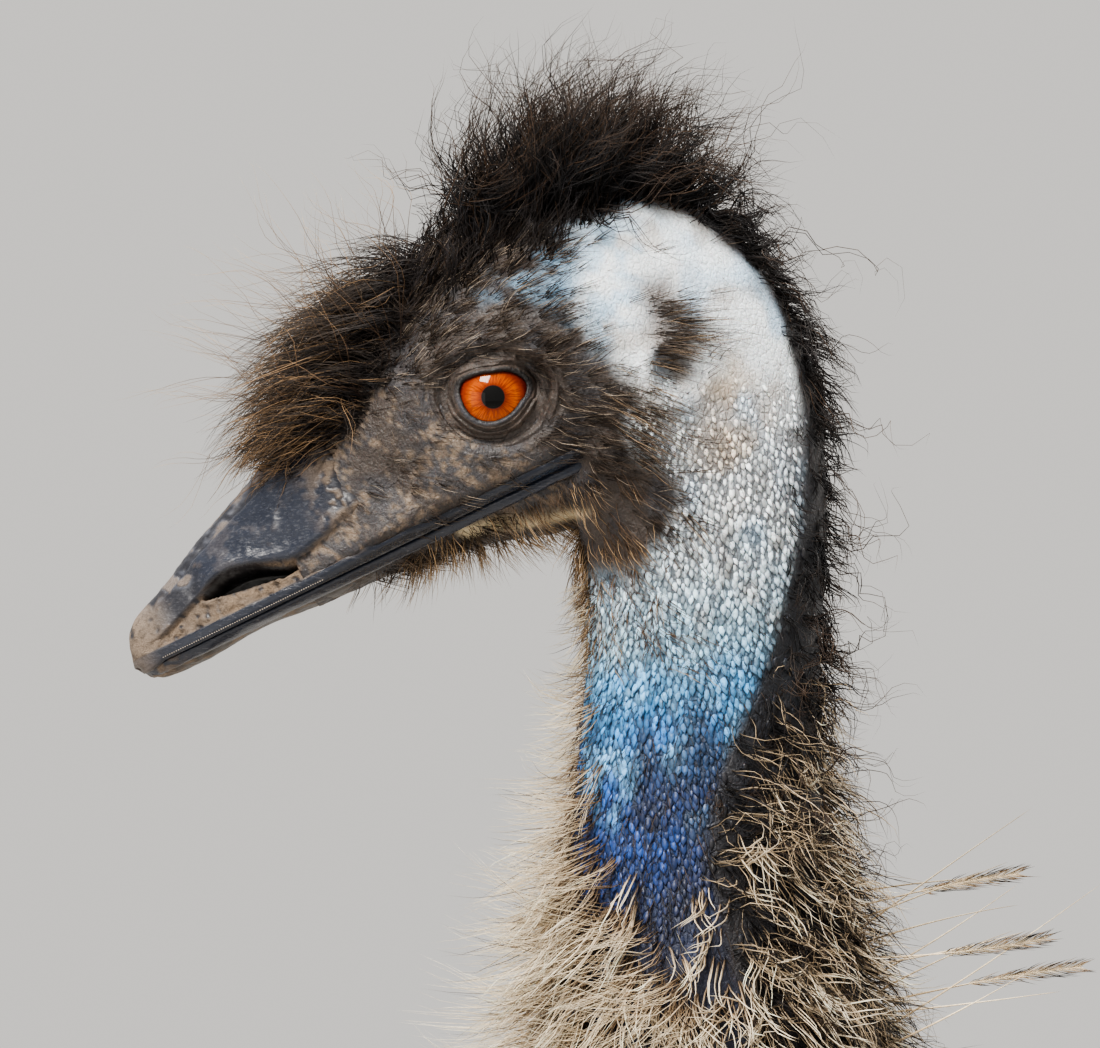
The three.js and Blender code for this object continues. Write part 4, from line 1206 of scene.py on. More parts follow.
def sowing() -> Growth:
    """A tree that sows copies over a bed.

    The bed's points carry "thick" (how densely they stand), "size" (how large), "lie" (which way
    they point), "tint" and "patch" (their place on the unwrap).

    Returns:
        The tree.
    """
    tree = Growth(
        "sowing", Pip="Object", Gap="Float", Density="Float", Least="Float", Most="Float",
        Lean="Float", Vary="Float", Seed="Int", Finish="Material",
    )
    bed = tree.start.outputs["Bed"]
    spread = tree.node("GeometryNodeDistributePointsOnFaces", {
        "Mesh": bed, "Distance Min": tree.given("Gap"), "Density Max": tree.given("Density"),
        "Density Factor": tree.read("thick", "FLOAT"), "Seed": tree.given("Seed"),
    }, distribute_method="POISSON")
    dark = tree.math("SUBTRACT", 1.0, tree.given("Vary"))
    light = tree.math("ADD", 1.0, tree.given("Vary"))
    own = tree.scaled(tree.read("tint", "FLOAT_COLOR"), tree.random(dark, light, 11))
    stored = {"Geometry": spread.outputs["Points"], "Name": "tint", "Value": own}
    points = tree.node(
        "GeometryNodeStoreNamedAttribute", stored, data_type="FLOAT_COLOR", domain="POINT"
    ).outputs[0]
    turned = tree.node(
        "FunctionNodeAxesToRotation",
        {"Primary Axis": spread.outputs["Normal"], "Secondary Axis": tree.read("lie", "FLOAT_VECTOR")},
        primary_axis="Z", secondary_axis="Y",
    )
    less = tree.math("SUBTRACT", 0.0, tree.given("Lean"))
    tilt = tree.node("ShaderNodeCombineXYZ", {
        number: tree.random(less, tree.given("Lean"), 21 + number) for number in range(3)
    })
    euler = tree.node("FunctionNodeEulerToRotation", {0: tilt.outputs[0]})
    turned = tree.node(
        "FunctionNodeRotateRotation", {0: turned.outputs[0], 1: euler.outputs[0]}, rotation_space="LOCAL"
    )
    chance = tree.random(tree.given("Least"), tree.given("Most"), 31)
    scale = tree.math("MULTIPLY", tree.read("size", "FLOAT"), chance)
    small = tree.node("GeometryNodeObjectInfo", {0: tree.given("Pip")}).outputs["Geometry"]
    copies = tree.node("GeometryNodeInstanceOnPoints", {
        "Points": points, "Instance": small, "Rotation": turned.outputs[0], "Scale": scale,
    })
    return tree.ended(copies.outputs[0])


def stringing() -> Growth:
    """A tree that sets copies at even steps along a line.

    The line's points carry "out" (the way out of the skin), "size" (the scale on each axis),
    "tint" and "patch".

    Returns:
        The tree.
    """
    tree = Growth("stringing", Pip="Object", Pitch="Float", Finish="Material")
    curve = tree.node("GeometryNodeMeshToCurve", {"Mesh": tree.start.outputs["Bed"]}).outputs[0]
    curve = tree.node(
        "GeometryNodeResampleCurve", {"Curve": curve, "Length": tree.given("Pitch")}, mode="LENGTH"
    ).outputs[0]
    turned = tree.node("FunctionNodeAxesToRotation", {
        "Primary Axis": tree.read("out", "FLOAT_VECTOR"),
        "Secondary Axis": tree.node("GeometryNodeInputTangent", {}).outputs[0],
    }, primary_axis="Z", secondary_axis="Y")
    small = tree.node("GeometryNodeObjectInfo", {0: tree.given("Pip")}).outputs["Geometry"]
    copies = tree.node("GeometryNodeInstanceOnPoints", {
        "Points": curve, "Instance": small, "Rotation": turned.outputs[0],
        "Scale": tree.read("size", "FLOAT_VECTOR"),
    })
    return tree.ended(copies.outputs[0])


class Pip(Enum):
    """The small shapes that are copied, about one millimetre in size."""

    PAPILLA = "papilla"
    BRISTLE = "bristle"
    TOOTH = "tooth"
    SCUTE = "scute"

    def shape(self) -> Shape:
        """The shape: Z is out of the skin and Y the way that it points."""
        points, faces, high = getattr(self, self.value)()
        shape = Shape(points, outward(points, faces), None, {"high": high})
        spot = (points - points.min(0)) / np.maximum(np.ptp(points, axis=0), 1e-6) - 0.5
        shape.extra["spot"] = np.stack([spot[:, 0], spot[:, 1], np.zeros(len(points))], axis=1)
        return shape

    @staticmethod
    def papilla() -> tuple[Array, list[Array], Array]:
        """A leaf-shaped scale whose lower tip stands off the skin."""
        turn = np.radians([90, 28, -40, -90, -140, 152])
        rim = np.stack([0.82 * np.cos(turn), 1.2 * np.sin(turn), np.full(6, -0.1)], axis=1)
        rim[0, 1], rim[0, 2] = 1.75, 0.14
        top = np.stack([rim[:, 0] * 0.72, rim[:, 1] * 0.72 + 0.14, 0.24 + 0.15 * rim[:, 1]], axis=1)
        tops = np.array([[0, 0.3, 0.40], [0, -0.2, -0.7]])
        points = np.concatenate([rim, top, tops])
        faces = [grid_faces(2, 6)] + shut(2, 6, 13, 12)
        return points, faces, np.array([0.0] * 6 + [0.8] * 6 + [1.0, 0.0])

    @staticmethod
    def bristle() -> tuple[Array, list[Array], Array]:
        """A tapered hair that leans over, one millimetre long."""
        share = np.array([0.0, 0.35, 0.7])
        middle = np.stack([0 * share, 0.95 * share**1.25, 0.42 * np.sin(share * 2.2) - 0.06], axis=1)
        turn = np.arange(3) / 3 * TAU
        ring = np.stack([np.cos(turn), 0 * turn, np.sin(turn)], axis=1)
        body = middle[:, None] + ring[None] * (0.017 * (1 - 0.7 * share))[:, None, None]
        points = np.concatenate([body.reshape(-1, 3), [[0, 0.0, -0.1], [0, 1.0, 0.36]]])
        faces = [grid_faces(3, 3)] + shut(3, 3, 9, 10)
        return points, faces, np.array([0.0] * 3 + [0.35] * 3 + [0.7] * 3 + [0.0, 1.0])

    @staticmethod
    def tooth() -> tuple[Array, list[Array], Array]:
        """A low blunt grain of the saw edge."""
        turn = np.arange(6) / 6 * TAU
        rim = np.stack([0.13 * np.cos(turn), 0.19 * np.sin(turn), 0 * turn - 0.05], axis=1)
        top = rim * [0.6, 0.6, 0] + [0, 0, 0.12]
        points = np.concatenate([rim, top, [[0, 0, 0.15], [0, 0, -0.2]]])
        faces = [grid_faces(2, 6)] + shut(2, 6, 13, 12)
        return points, faces, np.array([0.0] * 6 + [1.0] * 7 + [0.0])

    @staticmethod
    def scute() -> tuple[Array, list[Array], Array]:
        """A curved plate that wraps the front of a leg of radius one and laps the next plate."""
        turn = np.radians(np.linspace(-76, 76, 17))
        corner = np.sqrt(np.maximum(0.02, 1 - np.abs(np.linspace(-1, 1, 17)) ** 5))
        section = np.array(
            [(-5.6, 0.97), (-5.2, 1.03), (0.0, 1.085), (5.2, 1.125), (6.3, 1.09), (6.2, 1.0), (0.0, 0.93)]
        )
        down = section[None, :, 0] * (0.35 + 0.65 * corner[:, None])
        reach = np.broadcast_to(section[None, :, 1], down.shape)
        rings = np.stack([reach * np.sin(turn)[:, None], down, reach * np.cos(turn)[:, None]], axis=-1)
        points, faces = closed_tube(rings)
        high = np.tile([0.0, 0.5, 1.0, 0.9, 0.2, 0.0, 0.0], 17)
        return points, faces, np.concatenate([high, [0.0, 0.0]])


# The bill.


@dataclass
class Bill:
    """Both halves of the bill, with the shield, the nostrils, the dusty floor and the rims."""

    tip: float = 107.0
    gape: float = -14.5
    levels: int = 76
    roof: int = 8
    rows: int = 205
    rim_tall: float = 2.9

    SLIT = staticmethod(
        along([(59, 6.6), (63, 6.1), (66, 7.0), (70, 8.3), (74.5, 9.1), (79, 9.4), (84, 9.1)])
    )
    SLIT_TALL = staticmethod(
        along([(58, 0.1), (62, 0.6), (65.5, 1.1), (70, 1.8), (74.5, 1.95), (79, 1.5), (83, 0.7), (85, 0.1)])
    )
    SHIELD_EDGE = staticmethod(along([
        (38, 13.5), (44, 12), (49, 10.2), (59, 8.0), (66, 9.8), (70, 11.2), (75, 12.1), (80, 11.6),
        (85, 9.9), (91, 7.6), (98, 5),
    ]))
    HORN: Colour = (0.016, 0.017, 0.024)
    BLUE_HORN: Colour = (0.018, 0.023, 0.038)
    WORN: Colour = (0.072, 0.077, 0.095)
    DUST: Colour = (0.225, 0.165, 0.115)
    TIP: Colour = (0.215, 0.165, 0.125)
    UNDER: Colour = (0.034, 0.027, 0.023)

    @staticmethod
    def cheek(ahead: Array, above: Array) -> Array:
        """How far out the plain head stands."""
        seat, top, low = head_seat(ahead), head_top(ahead), head_low(ahead)
        high = np.clip((above - seat) / np.maximum(top - seat, 0.5), 0, 1)
        deep = np.clip((seat - above) / np.maximum(seat - low, 0.5), 0, 1)
        full = np.sqrt(np.maximum(0, 1 - np.maximum(high, deep) ** 2))
        return head_wide(ahead) * full * (1 - head_pinch(ahead) * high)

    def section(self, end: float, fine: float = 1.0) -> tuple[Array, Array, Array, Array]:
        """The stations and the points round each of them.

        Args:
            end: How far ahead the half reaches.
            fine: A factor on how many points there are each way.

        Returns:
            The station, the height from rim to ridge, the share across the roof and whether a
            point lies in the roof, as tables.
        """
        rows, levels = round(self.rows * fine), round(self.levels * fine)
        t = np.linspace(0, 1, rows)
        ahead = self.gape + (end - self.gape) * (0.5 * t + 0.5 * np.sin(t * math.pi / 2))
        climb = np.sin(np.linspace(0, 1, levels) * math.pi / 2)
        flat = np.linspace(1, -1, self.roof + 2)[1:-1]
        rise = np.concatenate([climb, climb[-2::-1], np.zeros(self.roof)])
        hand = np.concatenate([-np.ones(levels), np.ones(levels - 1), flat])
        roofed = np.concatenate([np.zeros(2 * levels - 1), np.ones(self.roof)])
        return tuple(np.broadcast_arrays(ahead[:, None], rise[None], hand[None], roofed[None]))

    def upper(self) -> Shape:
        """The upper half."""
        ahead, rise, hand, roofed = self.section(self.tip)
        top = head_top(ahead)
        base = -0.25 - 0.9 * smooth(98, 103, ahead) + 2.0 * smooth(105.2, 107, ahead)
        above = base + (top - base) * rise
        side = self.cheek(ahead, np.maximum(above, 0.2)) * hand
        above = above + 0.9 * roofed * (1 - hand**2)
        surface = Surface.of(in_head(ahead, side, above))
        p = surface.points
        skirt = smooth(0.0, 0.05, rise) * (1 - roofed)
        bony = smooth(35, 43, ahead + 2.5 * (grain(p, 4, 36) - 0.5))
        rim = smooth(self.rim_tall + 0.3, self.rim_tall - 0.3, above)
        edge = self.SHIELD_EDGE(ahead)
        over = smooth(edge - 0.35, edge + 0.35, above)
        slit, tall = self.SLIT(ahead), self.SLIT_TALL(ahead)
        # The nostril: hole sinks the slit into the horn, and shade marks the ledge round it under the
        # shield's edge.
        hole = smooth(1.12, 0.7, np.abs(above - slit) / tall) * smooth(59, 62, ahead) * smooth(85, 83, ahead)
        shade = (
            smooth(1.75, 1.05, np.abs(above - slit - 0.5) / tall) * smooth(60, 64, ahead)
            * smooth(85, 83, ahead)
        )
        floor = (1 - over) * (1 - rim) * smooth(40, 50, ahead)
        lift = mix(-9.0, 0.45, bony) * (1 - rim) + 0.5 * rim
        lift = lift - 1.5 * floor * smooth(104, 94, ahead) - 5.5 * hole
        shield = over * smooth(40, 50, ahead) * smooth(86, 80, ahead) * smooth(0.93, 0.84, rise)
        lift = lift + 0.9 * shield + 0.45 * shield * bell(above, edge + 1.6, 1.4)
        lift = lift - 0.7 * bell(rise, 0.90, 0.035) * smooth(44, 54, ahead) * smooth(98, 88, ahead)
        notch = np.abs(np.sin((ahead - 1.3 * above) * math.pi / 4.4)) ** 0.5
        lift = lift + 0.14 * (notch - 0.5) * smooth(0.72, 0.9, rise) * bell(ahead, 76, 13)
        lift = lift * smooth(107, 103.5, ahead)
        crust = (
            smooth(0.5, 0.72, grain(p, 1.9, 37))
            * np.maximum(floor, 0.8 * smooth(50, 40, ahead) * (1 - rim))
        )
        lift = (
            lift + 0.6 * crust * (1 - hole) * smooth(104, 97, ahead)
            + 0.3 * (grain(p, 3.4, 31) - 0.5) * (1 - rim)
        )
        lift = lift + 0.18 * (grain(p, 1.2, 32) - 0.5) * (1 - rim)
        points = p + surface.normals * (lift * skirt)[..., None]
        cloud, speck = grain(p, 4.2, 38), grain(p, 1.3, 39)
        tint = np.zeros(p.shape) + np.array(self.HORN)
        tint = mix(tint, self.WORN, smooth(0.5, 0.8, cloud) * 0.8)
        tint = mix(tint, self.BLUE_HORN, shield * 0.85)
        # The culmen's lighter grey-blue mottle, laid along the diagonal notches, is partly worn horn and
        # partly painted glints.
        ridge = smooth(0.80, 0.95, rise) * smooth(48, 58, ahead) * smooth(104, 96, ahead)
        tint = mix(
            tint, (0.085, 0.092, 0.115), ridge * smooth(0.5, 0.85, notch * 0.2 + speck * 0.5 + cloud * 0.35)
        )
        dirt = floor * (0.72 + 0.28 * smooth(0.3, 0.6, cloud)) * smooth(0.12, 0.4, speck)
        dirt = np.maximum(
            dirt, smooth(91, 103, ahead) * smooth(0.22, 0.5, 0.6 * cloud + 0.5 * speck) * (1 - 0.5 * rim)
        )
        dirt = np.maximum(
            dirt, smooth(0.42, 0.62, 0.4 * cloud + 0.6 * speck) * smooth(54, 42, ahead) * (1 - rim) * 0.7
        )
        dirt = np.maximum(
            dirt, 0.5 * smooth(0.58, 0.72, 0.6 * cloud + 0.4 * speck) * (1 - rim) * (1 - 0.85 * shield)
        )
        dirt = dirt * (1 - shade)
        tint = mix(tint, mix(self.DUST, self.TIP, smooth(88, 102, ahead)), dirt)
        tint = mix(tint, np.array(self.BLUE_HORN) * 0.8, rim * smooth(106, 98, ahead))
        # Painted shadow on the ledge round the nostril, and painted shade that turns the inside of the
        # nostril near black.
        tint = mix(tint, (0.010, 0.008, 0.008), shade * 0.9)
        tint = mix(tint, (0.004, 0.003, 0.003), hole)
        gloss = np.maximum(rim, 0.8 * shield) * (1 - dirt)
        return self.finished(points, tint, dirt, gloss)

    def lower(self) -> Shape:
        """The lower half, tucked under the upper one's rims."""
        ahead, rise, hand, roofed = self.section(self.tip - 2.3, 0.55)
        low, top = head_low(ahead) - 0.2 + 1.3 * bell(ahead, 75, 14) + 0.4 * bell(ahead, 98, 6), 0.6
        deep = rise**0.9
        above = top + (low - top) * deep
        above = mix(above, np.maximum(above, -3.1), smooth(54, 46, ahead))
        edge = self.cheek(ahead, np.full_like(ahead, -1.5)) * 0.985
        around = np.maximum(0, 1 - deep**2) ** 0.42
        side = edge * hand * np.where(roofed > 0, 1, around)
        side = side - np.sign(hand) * 0.55 * smooth(-0.75, -0.1, above) * (np.abs(side) > 1)
        points = in_head(ahead, side, above)
        surface = Surface.of(points)
        band = smooth(-3.3, -2.8, above)
        skirt = smooth(-0.1, -0.7, above) * (1 - roofed)
        lift = 0.35 * band - 0.3 * bell(above, -3.1, 0.4)
        lift = lift + 0.3 * (grain(points, 3.0, 33) - 0.5) + 0.16 * (grain(points, 1.1, 34) - 0.5)
        points = points + surface.normals * (lift * skirt)[..., None]
        cloud, speck = grain(points, 4.0, 35), grain(points, 1.3, 40)
        dirt = smooth(0.5, 0.75, 0.55 * cloud + 0.45 * speck) * (1 - band) * 0.8
        dirt = np.maximum(dirt, smooth(92, 103, ahead) * smooth(0.3, 0.6, speck) * 0.8)
        tint = mix(self.UNDER, self.BLUE_HORN, band[..., None])
        tint = mix(tint, self.DUST, dirt)
        return self.finished(points, tint, dirt, band * (1 - dirt))

    @staticmethod
    def finished(points: Array, tint: Array, dust: Array, shine: Array) -> Shape:
        """Closes a half and carries its colour, dust and gloss."""
        whole, faces = closed_tube(points)
        ends = np.array([tint[0].mean(0), tint[-1].mean(0)])
        pad = np.zeros(2)
        extra = {
            "dust": np.concatenate([np.clip(dust, 0, 1).ravel(), pad]),
            "gloss": np.concatenate([np.clip(shine, 0, 1).ravel(), pad]),
        }
        return Shape(whole, outward(whole, faces), np.concatenate([tint.reshape(-1, 3), ends]), extra)

    def comb_line(self, side: Side) -> Shape:
        """The line of the fine saw teeth along the upper rim, with the way out at each point."""
        ahead = np.linspace(56, 99, 90)
        above = np.full_like(ahead, 0.55)
        reach = (self.cheek(ahead, above) + 0.52) * side.value
        points = in_head(ahead, reach, above)
        out = np.stack([np.zeros(90), np.full(90, float(side.value)), np.zeros(90)], axis=1)
        size = np.stack([np.ones(90), np.ones(90), np.ones(90)], axis=1)
        tint = np.zeros((90, 3)) + np.array([0.50, 0.43, 0.36])
        return Shape(points, [], tint, {"out": out, "size": size})


# The eyes and their lids.


@dataclass
class Eye:
    """One eye with its ring of lids."""

    skin: Skin
    side: Side
    rings: int = 46
    sides: int = 96
    lid_columns: int = 150
    inner: float = 0.93
    outer: float = 2.35
    seated: int = 30
    under_rows: tuple[int, ...] = (-1, 30, 8, 0)

    EDGE = staticmethod(along([
        (-12.3, 6.75), (11.6, 8.7), (26.6, 9.1), (51, 7.9), (90, 6.1), (118, 6.5), (138, 7.4), (153, 8.5),
        (168, 8.6),
        (190.6, 7.8), (218, 7.2), (256, 6.35), (302, 5.85), (347.7, 6.75), (371.6, 8.7),
    ]))
    LID: Colour = (0.046, 0.034, 0.028)
    # The upper rim's near black is partly the lid's own dark rim and partly painted shadow of the brow.
    UPPER_RIM_AND_BROW_SHADE: Colour = (0.012, 0.010, 0.010)
    LOWER_RIM: Colour = (0.062, 0.063, 0.074)

    def ball(self) -> Shape:
        """The eyeball, turned about its line of sight, with a slight bulge in front."""
        tilt = np.linspace(0, math.pi, self.rings)[1:-1] ** 1.25 / math.pi**0.25
        turn = np.arange(self.sides) / self.sides * TAU
        tilt, turn = np.meshgrid(tilt, turn, indexing="ij")
        reach = EYE_RADIUS + 0.55 * np.exp(-((tilt / 0.5) ** 2))
        ring = reach * np.sin(tilt)
        out = self.side.value * (EYE_OUT + reach * np.cos(tilt))
        points = np.stack([ring * np.cos(turn), out, ring * np.sin(turn)], axis=-1)
        whole, faces = closed_tube(points)
        far = np.hypot(whole[:, 0], whole[:, 2])
        far = np.where(np.abs(whole[:, 1]) < EYE_OUT, 12.0, far)
        spokes = whole[:, ::2] / np.maximum(np.hypot(whole[:, 0], whole[:, 2]), 1e-3)[:, None] * 5
        extra = {"ring": far, "spoke_x": spokes[:, 0], "spoke_z": spokes[:, 1]}
        return Shape(whole, outward(whole, faces), None, extra)

    def lids(self) -> Shape:
        """The ring of lids and folds round the eye."""
        share = np.concatenate([np.linspace(self.inner, 1.3, 15), np.linspace(1.33, self.outer, 33)])
        turn = np.arange(self.lid_columns) / self.lid_columns * TAU
        q, turn = np.meshgrid(share, turn, indexing="ij")
        edge = self.EDGE(np.degrees(turn))
        reach = mix(edge, 7.4, smooth(1.2, 2.2, q)) * q
        x = reach * np.cos(turn) * (1 + 0.08 * smooth(1.2, 2.2, q))
        z = reach * np.sin(turn) * (1 - 0.06 * smooth(1.2, 2.2, q))
        ball = EYE_OUT + np.sqrt(np.maximum(0, (EYE_RADIUS + 0.1) ** 2 - np.minimum(x * x + z * z, 130)))
        face = np.repeat(self.skin.cast(x[-1], z[-1], self.side)[None, :], len(share), axis=0)
        far = slice(self.seated, None)
        real = self.skin.cast(x[far], z[far], self.side)
        face[far] = mix(face[far], real, smooth(1.9, 2.1, q[far]))
        above, below = smooth(0.0, 0.6, np.sin(turn)), smooth(0.35, -0.35, np.sin(turn))
        lip = (1.0 + 0.5 * above) * np.sqrt(np.clip((q - self.inner) / 0.12, 0, 1))
        out = mix(ball + lip, face + 0.12, smooth(1.05, 1.95, q))
        wave = np.sin((q - 1.0) * 34 + 1.5 * np.sin(2 * turn) + 2.0 * grain(np.stack([x, z, q], -1), 3.0, 42))
        out = out + 0.30 * wave * smooth(1.1, 1.2, q) * smooth(2.1, 1.7, q) * (0.35 + 0.65 * below)
        out = out - 0.75 * bell(q, 1.60, 0.05) * below + 0.35 * bell(q, 1.40, 0.09) * below
        out = out + 0.9 * bell(q, 1.42, 0.16) * above - 0.6 * bell(q, 1.2, 0.04) * above
        out = out - 0.9 * smooth(2.12, self.outer, q)
        out = out + 0.34 * (grain(np.stack([x, z, q], -1), 1.2, 41) - 0.5) * smooth(1.1, 1.3, q)
        points = np.stack([x, self.side.value * out, z], axis=-1)
        below_rows = list(self.under_rows)
        under = points[below_rows].copy()
        under[..., 1] -= self.side.value * 1.5
        loop = np.concatenate([points, under])
        rows, columns = loop.shape[:2]
        last = (rows - 1) * columns + np.arange(columns)
        first = np.arange(columns)
        closing = np.stack([last, np.roll(last, -1), np.roll(first, -1), first], axis=1)
        faces = [np.concatenate([grid_faces(rows, columns), closing])]
        whole = loop.reshape(-1, 3)
        qs = np.concatenate([q, q[below_rows]]).ravel()
        turns = np.concatenate([turn, turn[below_rows]]).ravel()
        return Shape(
            whole, outward(whole, faces), self.lid_tint(whole, qs, turns), {"scaly": np.zeros(len(whole))}
        )

    def lid_tint(self, p: Array, q: Array, turn: Array) -> Array:
        """The lids' colours, with painted shade on the upper rim, at the edge against the eye and in the
        fold, and painted highlights on the lid skin.

        Args:
            p: Places.
            q: How far out from the opening, 1 at its edge.
            turn: The angle round the eye.

        Returns:
            A colour for each place.
        """
        rim = smooth(1.15, 1.07, q)
        low = smooth(0.35, -0.2, np.sin(turn))
        # The lids' brown skin, mottled with a lighter brown that stands as painted highlights.
        lid_and_highlight = mix(self.LID, (0.078, 0.058, 0.047), smooth(0.5, 0.8, grain(p, 1.6, 43))[:, None])
        tint = mix(Marks.skin(p), lid_and_highlight, smooth(2.1, 1.6, q))
        # The upper rim: partly its own dark colour, partly painted shadow of the brow.
        tint = mix(tint, self.UPPER_RIM_AND_BROW_SHADE, rim * (1 - low))
        tint = mix(tint, self.LOWER_RIM, rim * low)
        # Painted shade on the inner edge of the opening, where the lids meet the eyeball.
        tint = mix(tint, (0.006, 0.005, 0.005), smooth(1.03, 0.98, q))
        # Painted shade along the fold at q = 1.6, where the lower lid has its groove.
        return mix(tint, (0.018, 0.014, 0.012), bell(q, 1.60, 0.05) * 0.8)


# Feathers and hair, as tapered strands with a few sides.


@dataclass
class Strands:
    """Middle lines of strands with what dresses them."""

    lines: Array
    wide: Array
    tint: Array
    patch: Array
    flat: float = 1.0
    facing: Optional[Array] = None

    def shape(self, sides: int = 3) -> Shape:
        """Closed tubes about the lines, each run out to a point."""
        count, steps = self.lines.shape[:2]
        run = unit(np.gradient(self.lines, axis=1))
        if self.facing is None:
            bend = self.lines[:, -1] - 2 * self.lines[:, steps // 2] + self.lines[:, 0]
            facing = unit(np.cross(run[:, 0], bend + 1e-3) + 1e-4)
        else:
            facing = self.facing
        across = unit(np.cross(np.broadcast_to(facing[:, None], run.shape), run) + 1e-6)
        over = np.cross(run, across)
        angle = np.arange(sides) / sides * TAU
        ring = (
            across[:, :, None] * np.cos(angle)[None, None, :, None]
            + over[:, :, None] * (self.flat * np.sin(angle))[None, None, :, None]
        )
        tubes = (self.lines[:, :, None] + ring * self.wide[:, :, None, None])[:, :-1]
        each = (steps - 1) * sides + 1
        points = np.concatenate([tubes.reshape(count, -1, 3), self.lines[:, -1:]], axis=1)
        base = np.arange(count)[:, None] * each
        quads = (grid_faces(steps - 1, sides)[None] + base[:, :, None]).reshape(-1, 4)
        turn = np.arange(sides)
        foot = (steps - 2) * sides
        tip = np.stack([np.full(sides, each - 1), foot + turn, foot + (turn + 1) % sides], axis=1)
        tips = (tip[None] + base[:, :, None]).reshape(-1, 3)
        roots = turn[None, ::-1] + base
        spot = np.stack(
            np.meshgrid(np.linspace(-0.5, 0.4, steps - 1), turn / sides - 0.33, indexing="ij"), axis=-1
        )
        spot = np.concatenate([spot.reshape(-1, 2), [[0.5, 0.0]]]) * TUFT_PATCH
        patch = self.patch[:, None] + spot[None]
        tint = np.repeat(self.tint[:, :-1], sides, axis=1)
        tint = np.concatenate([tint, self.tint[:, -1:]], axis=1)
        return Shape(
            points.reshape(-1, 3), [quads, tips, roots], tint.reshape(-1, 3), {}, patch.reshape(-1, 2)
        )


@dataclass(frozen=True)
class Lie:
    """How a patch of hair or feathers grows; lengths are in millimetres."""

    clumps: int
    each: int
    length: tuple[float, float]
    wide: float
    steps: int = 6
    rise: float = 0.6
    settle: float = 0.35
    sag: float = 0.0
    spread: float = 1.2
    gather: float = 0.3
    splay: float = 0.12
    curl: float = 0.0
    turns: float = 1.0
    frizz: float = 0.05
    sunk: float = 0.8
    flat: float = 1.0


Mask = Callable[[Array, Array], Array]
Flow = Callable[[Array, Array], Array]
Tone = Callable[[Array, Array, Array], Array]
Trim = Callable[[Array], Array]


